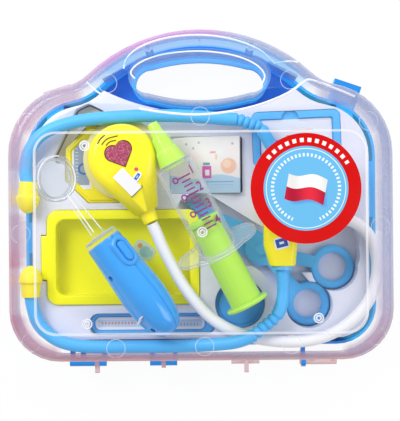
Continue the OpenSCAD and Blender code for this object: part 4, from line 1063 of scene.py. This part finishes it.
PAD_RINGS = [(24, 14, 8), (24, 14, 13.6), (23.4, 13.2, 14.8), (21.6, 11.6, 15.3), (18.6, 9.2, 15.2),
             (16.9, 7.4, 14.6), (16.2, 6.6, 13.2), (16.2, 6.6, 12)]     # length, width, height
PAD_X = 14
pad = [[LIGHT @ mm(PAD_X + x, y, z) for x, y, z in oval_ring(*ring)] for ring in PAD_RINGS]
add_mesh("button_pad", *skin(pad), "handle", "case", "light_handle_blue", smooth=50)
print("exam light dressed")

# %% [markdown]
# ## Scale of the syringe
#
# The scale is printed on the barrel: four long lines that end in a ring, short
# lines between, and the numbers 1 to 4. Lines and digits are bent round the
# barrel, so that they lie on it from every side.

# %% Printed scale
SYRINGE = at((-33.4, 56.7, 45.816), -62.6, 2)
BARREL_R = 13.75
INK_LIFT = 0.06
LONG_AT = [43.2, 56.2, 69.2, 82.2]
SHORT_LINES = 3
CIRCLE_ACROSS, CIRCLE_SIDES, CIRCLE_RADII = -4.4, 24, (1.25, 2.3)
DIGIT_SIZE, DIGIT_BOLD, DIGIT_BACK, DIGIT_ACROSS = 9.2, 0.14, 2.0, 9.8


def ink_mesh(name, flat):
    """Bends a flat print (X along, Y across) round the barrel and places it."""
    shape = bmesh.new()
    shape.from_mesh(flat)
    bmesh.ops.subdivide_edges(shape, edges=[e for e in shape.edges if e.calc_length() > mm(1.2)], cuts=2)
    bmesh.ops.triangulate(shape, faces=shape.faces)
    for v in shape.verts:
        angle = v.co.y * 1000 / BARREL_R
        r = BARREL_R + INK_LIFT
        v.co = mm(v.co.x * 1000, r * math.sin(angle), r * math.cos(angle))
    bmesh.ops.transform(shape, matrix=SYRINGE, verts=shape.verts)
    centre = SYRINGE @ mm(LONG_AT[1], 0, 0)
    bmesh.ops.recalc_face_normals(shape, faces=shape.faces)
    for face in shape.faces:
        if face.normal.dot(face.calc_center_median() - centre) < 0:
            face.normal_flip()
    return add_piece(name, to_mesh(shape, name), "ink", "case", "syringe_green", (), None)


def flat_mesh(verts, faces):
    mesh = bpy.data.meshes.new("flat")
    mesh.from_pydata(verts, [], faces)
    return mesh


bars = [(x, -2.6, 7.2, 1.15) for x in LONG_AT]      # place, from, to, width
for a, b in zip(LONG_AT, LONG_AT[1:]):
    bars += [(a + (b - a) * i / (SHORT_LINES + 1), -1.0, 5.8, 1.0) for i in range(1, SHORT_LINES + 1)]
verts, faces = [], []
for x, low, high, width in bars:
    steps = round(high - low)
    start = len(verts)
    verts += [mm(x + side, low + (high - low) * i / steps, 0)
              for i in range(steps + 1) for side in (-width / 2, width / 2)]
    faces += [(start + 2 * i, start + 2 * i + 1, start + 2 * i + 3, start + 2 * i + 2) for i in range(steps)]
ink_mesh("scale_lines", flat_mesh(verts, faces))

verts, faces = [], []
for x in LONG_AT:
    start = len(verts)
    verts += [mm(x + r * math.cos(a), CIRCLE_ACROSS + r * math.sin(a), 0)
              for a in circle(CIRCLE_SIDES) for r in CIRCLE_RADII]
    for k in range(CIRCLE_SIDES):
        here, after = start + 2 * k, start + 2 * ((k + 1) % CIRCLE_SIDES)
        faces.append((here, here + 1, after + 1, after))
ink_mesh("scale_circles", flat_mesh(verts, faces))

for text, x in zip("1234", LONG_AT):
    curve = bpy.data.curves.new("digit_" + text, "FONT")
    curve.body = text
    curve.size = mm(DIGIT_SIZE)
    curve.offset = mm(DIGIT_BOLD)
    curve.align_x = "CENTER"
    curve.align_y = "CENTER"
    digit = baked("digit", curve)
    digit.transform(at((x - DIGIT_BACK, DIGIT_ACROSS, 0), 90))
    ink_mesh("scale_number_" + text, digit)
print("scale printed")

# %% [markdown]
# ## Small stickers and masks for prints
#
# Small labels are thin raised plates with a picture in their material. `plate`
# makes a rounded plate that lies flat at a height. A picture is a list of
# masks in millimetres from its middle, each with a colour.


# %% Plates and masks
def plate(name, centre, size, corner, thick, finish, slot, turn=0):
    w, h = size[0] / 2 - corner, size[1] / 2 - corner
    ring = []
    for cx, cy, start in ((w, h, 0), (-w, h, 90), (-w, -h, 180), (w, -h, 270)):
        for a in range(start, start + 91, 15):
            ring.append((cx + corner * math.cos(math.radians(a)), cy + corner * math.sin(math.radians(a))))
    rows = [[at(centre, turn) @ mm(x, y, z) for x, y in ring] for z in (0, thick)]
    return add_mesh(name, *skin(rows), finish, "case", slot, smooth=None)


def box_mask(x, y, wide, high, at_x=0, at_y=0, soft=0.3):
    return x.near(at_x, wide / 2, soft) * y.near(at_y, high / 2, soft)


def discs(x, y, soft, *rows):
    """Round marks: each row is x, y, radius and colour."""
    return [(distance(x, y, at_x, at_y).below(radius, soft), colour) for at_x, at_y, radius, colour in rows]


def boxes(x, y, soft, *rows):
    """Square marks: each row is width, height, x, y and colour."""
    return [(box_mask(x, y, *row[:-1], soft), row[-1]) for row in rows]


# %% [markdown]
# ## Round sticker
#
# A red ring round a light-blue disc, a thin white circle and a waving
# two-coloured flag. The rings are distances from the centre. Rows of plain
# dashes run round the edge and round the disc.

# %% Sticker and flag
STICKER_AT = (71.7, 10.1, 0)
FLAG_HALF = (13.2, 8.6)
FLAG_STEPS = 32
FLAG_LEAN = 1.6             # how far its top is pushed sideways
FLAG_LIFT = 0.06


def flag_wave(x, sine):
    """Height of the flag's middle line, for numbers and for shader values."""
    return sine((x + 2) * 0.24) * 1.5 - x * 0.17


def dashes(angle, count, half):
    """Dashes all round, each half wide on both sides of its middle."""
    return (angle * (count / (2 * math.pi)) + count / 2).beats().below(half, 0.03)


def sticker_print(tree, base):
    x, y, _ = local_mm(tree, STICKER_AT)
    r = distance(x, y, 0, 0)
    angle = x.math("ARCTAN2", y, x)
    upper = angle.near(math.radians(88), math.radians(58), 0.01)
    lowest = angle.near(math.radians(-90), math.radians(24), 0.01)
    edge = r.between(31.6, 34.4, 0.15) * dashes(angle, 40, 0.27) * upper
    inner = r.between(21.8, 24.0, 0.15) * dashes(angle, 52, 0.25) * (1 - lowest)
    shadow = x.near(1.2, 13.6, 3.5) * (y - flag_wave(x, Tap.sine)).near(-1.8, 9.6, 3.5)
    return printed(tree, base, (r.below(28.9, 0.2), (106, 184, 230)),
                   (r.between(26.9, 27.35, 0.12), (240, 248, 252)), (edge, (250, 246, 244)),
                   (inner, (240, 248, 252)), (shadow * 0.6, (60, 90, 190)))


def flag_print(tree, base):
    x, y, _ = local_mm(tree, STICKER_AT)
    fold = ((x + 3.2) * 0.26).sine() * 0.5 + 0.5
    white = blend_colours(tree, fold, rgb(226, 226, 224), rgb(252, 252, 250))
    red = blend_colours(tree, fold, rgb(176, 26, 56), rgb(226, 46, 66))
    return blend_colours(tree, (y - flag_wave(x, Tap.sine)).below(0, 0.15), white, red)


finishes["sticker"] = moulded("printed_sticker", (208, 2, 1), 0.3, 0.01, 0.02, 0.0, sticker_print, 0.15)
finishes["flag"] = moulded("printed_flag", (240, 240, 240), 0.3, 0.01, 0.02, 0.0, flag_print, 0.15)
smooth_copy("lid_sticker", "sticker", "sticker_red", 30)
flag_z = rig.box("lid_sticker")[1][2] * 1000 + FLAG_LIFT
verts, faces = [], []
for i in range(FLAG_STEPS + 1):
    x = FLAG_HALF[0] * (2 * i / FLAG_STEPS - 1)
    for side in (-1, 1):
        verts.append(mm(STICKER_AT[0] + x + side * FLAG_LEAN,
                        STICKER_AT[1] + flag_wave(x, math.sin) + side * FLAG_HALF[1], flag_z))
    if i:
        faces.append((2 * i - 2, 2 * i, 2 * i + 1, 2 * i - 1))
add_mesh("flag", verts, faces, "flag", "lid", "sticker_red", smooth=None, fix=False)
print("sticker printed")

# %% [markdown]
# ## Heart button
#
# The heart is moulded with glitter: fine flakes of different brightness in a
# dark pink, partly their own lighter colour and partly painted glints. A Voronoi texture gives flakes, and each cell
# keeps one colour.
# Its sides take a darker copy of the pink: painted shade. Three dark arcs are printed beside it.


# %% Glitter heart and its arcs
def glitter(tree, base):
    # Lighter flakes: partly their own colour, partly painted glints.
    cells = add_node(tree, "ShaderNodeTexVoronoi", {"Vector": place(tree), "Scale": 1500.0}, 1)
    split = add_node(tree, "ShaderNodeSeparateColor", {"Color": cells})
    return printed(tree, base, (split ** 3 * 0.75, (226, 140, 165)))


finishes["heart"] = moulded("glitter_heart", (158, 52, 84), 0.25, 0.2, 0.1, 0.5, glitter)
# Painted shade: the heart's sides get a darker copy of its pink.
finishes["heart_edge"] = moulded("heart_edge", (120, 28, 56), 0.3, 0.05, 0.06, 0.4)
heart = soften("heart_button", "heart", "glitter_heart", 0.9, 4, 40)
heart.data.materials.append(finishes["heart_edge"])
top = max(v.co.z for v in heart.data.vertices)
# Faces that are not on the flat top get the painted shade.
for face in heart.data.polygons:
    if face.normal.z < 0.9 or face.center.z < top - mm(0.4):
        face.material_index = 1
HEAD_TOP = 50.85
for number, pixels in enumerate([
        ((98, 143), (101, 138), (105.5, 134)), ((102.3, 143.8), (108, 138), (118.5, 135)),
        ((106.5, 144.8), (110.5, 141), (116.5, 139.5))]):
    path = curve_through([from_photo(x, y, HEAD_TOP - 0.1) for x, y in pixels], 8)
    strand("sound_arc_%d" % number, path, 0.42, "dark_ink", "case", "yellow_plastic")
print("heart and arcs done")

# %% [markdown]
# ## Marks beside the tab, on the connector and in the dish
#
# Small stickers of plain shapes: a blue pill with a pale edge, a little cloud
# and a dot.


# %% Small stickers
def pill_mark(name, where, size, corner, thick, field_size, border, field, turn):
    """A pale plate with a coloured field and a pale spot in its middle."""
    def paint(tree, base):
        x, y, _ = local_mm(tree, (*where[:2], 0), turn)
        wide, high = field_size
        return printed(tree, base, (box_mask(x, y, wide, high), field),
                       (box_mask(x, y, wide * 0.42, high * 0.3), border))
    finishes[name] = moulded("small_print_" + name, border, 0.35, 0.02, 0.02, 0.1, paint)
    plate(name, where, size, corner, thick, name, "yellow_plastic", turn)


pill_mark("connector_mark", from_photo(281.5, 243.5, 42.3), (10.6, 8.4), 2.6, 0.12, (8.6, 6.4),
          (226, 234, 246), (44, 84, 172), 14)
pill_mark("head_mark", from_photo(137.5, 176, HEAD_TOP), (7.4, 4.2), 1.8, 0.1, (5.4, 2.6),
          (238, 242, 248), (52, 104, 190), 55)
finishes["dot"] = moulded("red_dot", (214, 84, 96), 0.35, 0.02, 0.04, 0.1)
dot_x, dot_y, dot_z = from_photo(136.7, 173.2, HEAD_TOP)
plate("head_dot", (dot_x, dot_y + 3.2, dot_z), (2.8, 2.6), 1.2, 0.1, "dot", "yellow_plastic")

CLOUD_AT, CLOUD_TURN = (-41.5, -33), -38
DISH_FLOOR = 1.62


def cloud_print(tree, base):
    x, y, _ = local_mm(tree, (*CLOUD_AT, 0), CLOUD_TURN)
    return printed(
        tree, base, *discs(x, y, 0.5, (1.2, -0.6, 4.4, (150, 196, 206)), (4.4, 0.6, 2.8, (160, 204, 212))),
        *discs(x, y, 0.4, (-4.4, 0.8, 2.0, (222, 150, 96))))


finishes["cloud"] = moulded("cloud_sticker", (206, 222, 200), 0.35, 0.02, 0.02, 0.1, cloud_print)
plate("dish_sticker", (*CLOUD_AT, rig.box("dish")[0][2] * 1000 + DISH_FLOOR), (17, 11.5), 4.6, 0.12, "cloud",
      "dish_yellow", CLOUD_TURN)
print("small stickers placed")

# %% [markdown]
# ## Printed cards
#
# The medicine box, the badge, the dial and the thermometer carry paper prints:
# simple shapes, bands and dots in the pastel colours of such toys.


# %% Card prints
def box_print(tree, base):
    x, y, _ = local_mm(tree, (4, 28.3, 0))
    haze = blend_colours(tree, noise(tree, 70), rgb(228, 226, 232), rgb(244, 236, 226))
    hill = (y - (x * 0.16).sine() * 1.6).below(-8.0, 1.2)
    dots = [(dot_x, dot_y, 1.1, (150, 180, 220)) for dot_x, dot_y in
            ((-14, 15), (-9, 12), (-12, 2), (-17, 8), (-5, 16), (19, 15))]
    return printed(
        tree, haze, *discs(x, y, 7.0, (10.5, 9.5, 4.0, (226, 246, 240)), (-8.0, 7.0, 5.0, (246, 218, 226))),
        (hill, (176, 206, 232)),
        *discs(x, y, 0.8, (16.2, -0.8, 6.0, (238, 192, 168)), (15.0, 0.6, 3.4, (244, 208, 186))),
        *boxes(x, y, 0.5,
               (7.0, 9.4, 0.6, -5.2, (206, 92, 178)), (3.6, 4.6, 0.9, -5.6, (236, 226, 240)),
               (5.4, 2.4, 0.4, 0.7, (84, 160, 170)), (4.6, 1.9, 5.0, 9.0, (232, 160, 166)),
               (1.9, 4.2, 7.4, 5.6, (236, 196, 170)), (20, 1.0, 10.0, -12.2, (70, 140, 204)),
               (16, 0.7, 12.0, -14.2, (110, 166, 214)), (12, 0.6, 13.4, -16.0, (110, 166, 214))),
        *discs(x, y, 0.5, *dots))


def badge_card_print(tree, base):
    x, y, _ = local_mm(tree, (69.4, 47, 0), 2)
    haze = blend_colours(tree, noise(tree, 60), rgb(214, 222, 238), rgb(226, 230, 242))
    return printed(tree, haze, *boxes(
        x, y, 0.4, (17, 1.6, 4, 5.8, (226, 190, 190)), (9, 1.5, -3, 2.2, (228, 170, 130)),
        (6, 3.2, -16, -2.2, (74, 130, 196)), (22, 1.2, 2, -8, (150, 180, 220))))


def dial_print(tree, base):
    x, y, _ = local_mm(tree, (-85.5, 29.5, 0))
    ring = distance(x, y, 1.5, -3.2).between(3.0, 4.4, 0.3)
    ticks = (y * 0.4 + 20).beats().below(0.12, 0.06) * box_mask(x, y, 2.2, 26, -3.6, 0, 0.2)
    return printed(tree, base, (box_mask(x, y, 11.2, 30), (150, 166, 184)), (ring, (60, 112, 176)),
                   (ticks, (232, 236, 242)))


def inlay_print(tree, base):
    x, y, _ = local_mm(tree, (-37.5, -86, 0))
    beat = (x * 0.42 + 40).beats()
    return printed(tree, base, (box_mask(x, y, 76, 5.6, soft=0.6), (196, 214, 234)),
                   (beat.below(0.3, 0.08) * box_mask(x, y, 25, 1.9, -23, 0.2, 0.4), (214, 140, 120)),
                   (beat.below(0.1, 0.05) * box_mask(x, y, 36, 2.4, 18, -1.0), (110, 130, 170)))


finishes["box_card"] = moulded("box_card", (232, 232, 236), 0.4, 0.03, 0.03, 0.1, box_print)
finishes["badge_card"] = moulded("badge_card", (220, 226, 240), 0.4, 0.02, 0.02, 0.1, badge_card_print)
finishes["dial"] = moulded("dial_paper", (232, 236, 242), 0.4, 0.02, 0.02, 0.1, dial_print)
finishes["inlay"] = moulded("inlay_paper", (238, 240, 246), 0.35, 0.02, 0.02, 0.1, inlay_print)
soften("medicine_box", "box_card", "printed_card", 0.35, 2, 30, 0.8)
dress("badge_card", "badge_card")
dress("dial", "gauge_dial")
dress("inlay", "thermometer_inlay")
print("cards printed")

# %% [markdown]
# ## Lamps and clear walls
#
# Soft light comes from above and the sides, at a plain level, so that a colour
# renders about as it is written. The clear pieces throw no shadow: a thin
# clear wall scatters light on, it doesn't stop it.

# %% Lamps
LAMP_AIM = mm(0, 0, 30)


def lamp(name, where, size, power):
    data = bpy.data.lights.new(name, "AREA")
    data.shape = "RECTANGLE"
    data.size = mm(size[0])
    data.size_y = mm(size[1])
    data.energy = power
    made = linked(name, data)
    made.location = mm(*where)
    made.rotation_euler = (LAMP_AIM - mm(*where)).to_track_quat("-Z", "Y").to_euler()


lamp("window_left", (-420, 330, 560), (320, 320), 2.9)
lamp("window_right", (560, -120, 480), (400, 500), 1.5)
lamp("window_top", (60, 640, 420), (700, 260), 1.9)

for piece in bpy.context.scene.objects:
    if piece.type == "MESH" and any(held.material in CLEAR.values() for held in piece.material_slots):
        piece.visible_shadow = False
        piece.visible_diffuse = False
print("lamps are set")

# %% [markdown]
# ## World and floor
#
# The room is white for the camera, about half as bright for what it lights, and
# darker still in reflections, so that colours stay deep. The floor is white.

# %% World and floor
WHITE = (1.0, 1.0, 1.0)
ROOM_LIGHT = 0.54
FLOOR_HALF, FLOOR_Z = 2500, -0.05


def ray_kinds(tree, *names):
    """1 or 0 for each kind of ray."""
    ray = add_node(tree, "ShaderNodeLightPath")
    return [Tap(tree, ray.socket.node.outputs["Is %s Ray" % name]) for name in names]


world = bpy.data.worlds.new("room")
bpy.context.scene.world = world
world.use_nodes = True
tree = world.node_tree
tree.nodes.clear()
seen, glossy, passed = ray_kinds(tree, "Camera", "Glossy", "Transmission")
white_share = seen.most(passed) - glossy * 0.8
sky = add_node(tree, "ShaderNodeBackground",
               {"Color": WHITE, "Strength": white_share * (1 - ROOM_LIGHT) + ROOM_LIGHT})
add_node(tree, "ShaderNodeOutputWorld", {"Surface": sky})

corners = [(-1, -1), (1, -1), (1, 1), (-1, 1)]
floor_mesh = flat_mesh([mm(x * FLOOR_HALF, y * FLOOR_HALF, FLOOR_Z) for x, y in corners], [(0, 1, 2, 3)])
floor = linked("floor", floor_mesh)
floor_paint, tree = new_material("white_floor")
seen = ray_kinds(tree, "Camera")[0]
grain = blend_colours(tree, noise(tree, 3), rgb(244, 244, 246), rgb(250, 250, 251))
matt = add_node(tree, "ShaderNodeBsdfPrincipled", {"Base Color": grain, "Roughness": 0.8})
shine = add_node(tree, "ShaderNodeEmission", {"Color": WHITE, "Strength": 1.0})
output(tree, mix_shaders(tree, seen * 0.94, matt, shine))
floor_mesh.materials.append(floor_paint)
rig.stage(floor)
bpy.context.scene.view_settings.view_transform = "Standard"
print("world and floor are set")

# %% [markdown]
# ## Sizes
#
# The dressed model has to stay inside the box of the solids.

# %% Sizes and the finish
with open("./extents.json", "w") as size_file:
    json.dump({"cad": [list(c) for c in cad_box], "visual": [list(c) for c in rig.bounds()]}, size_file)
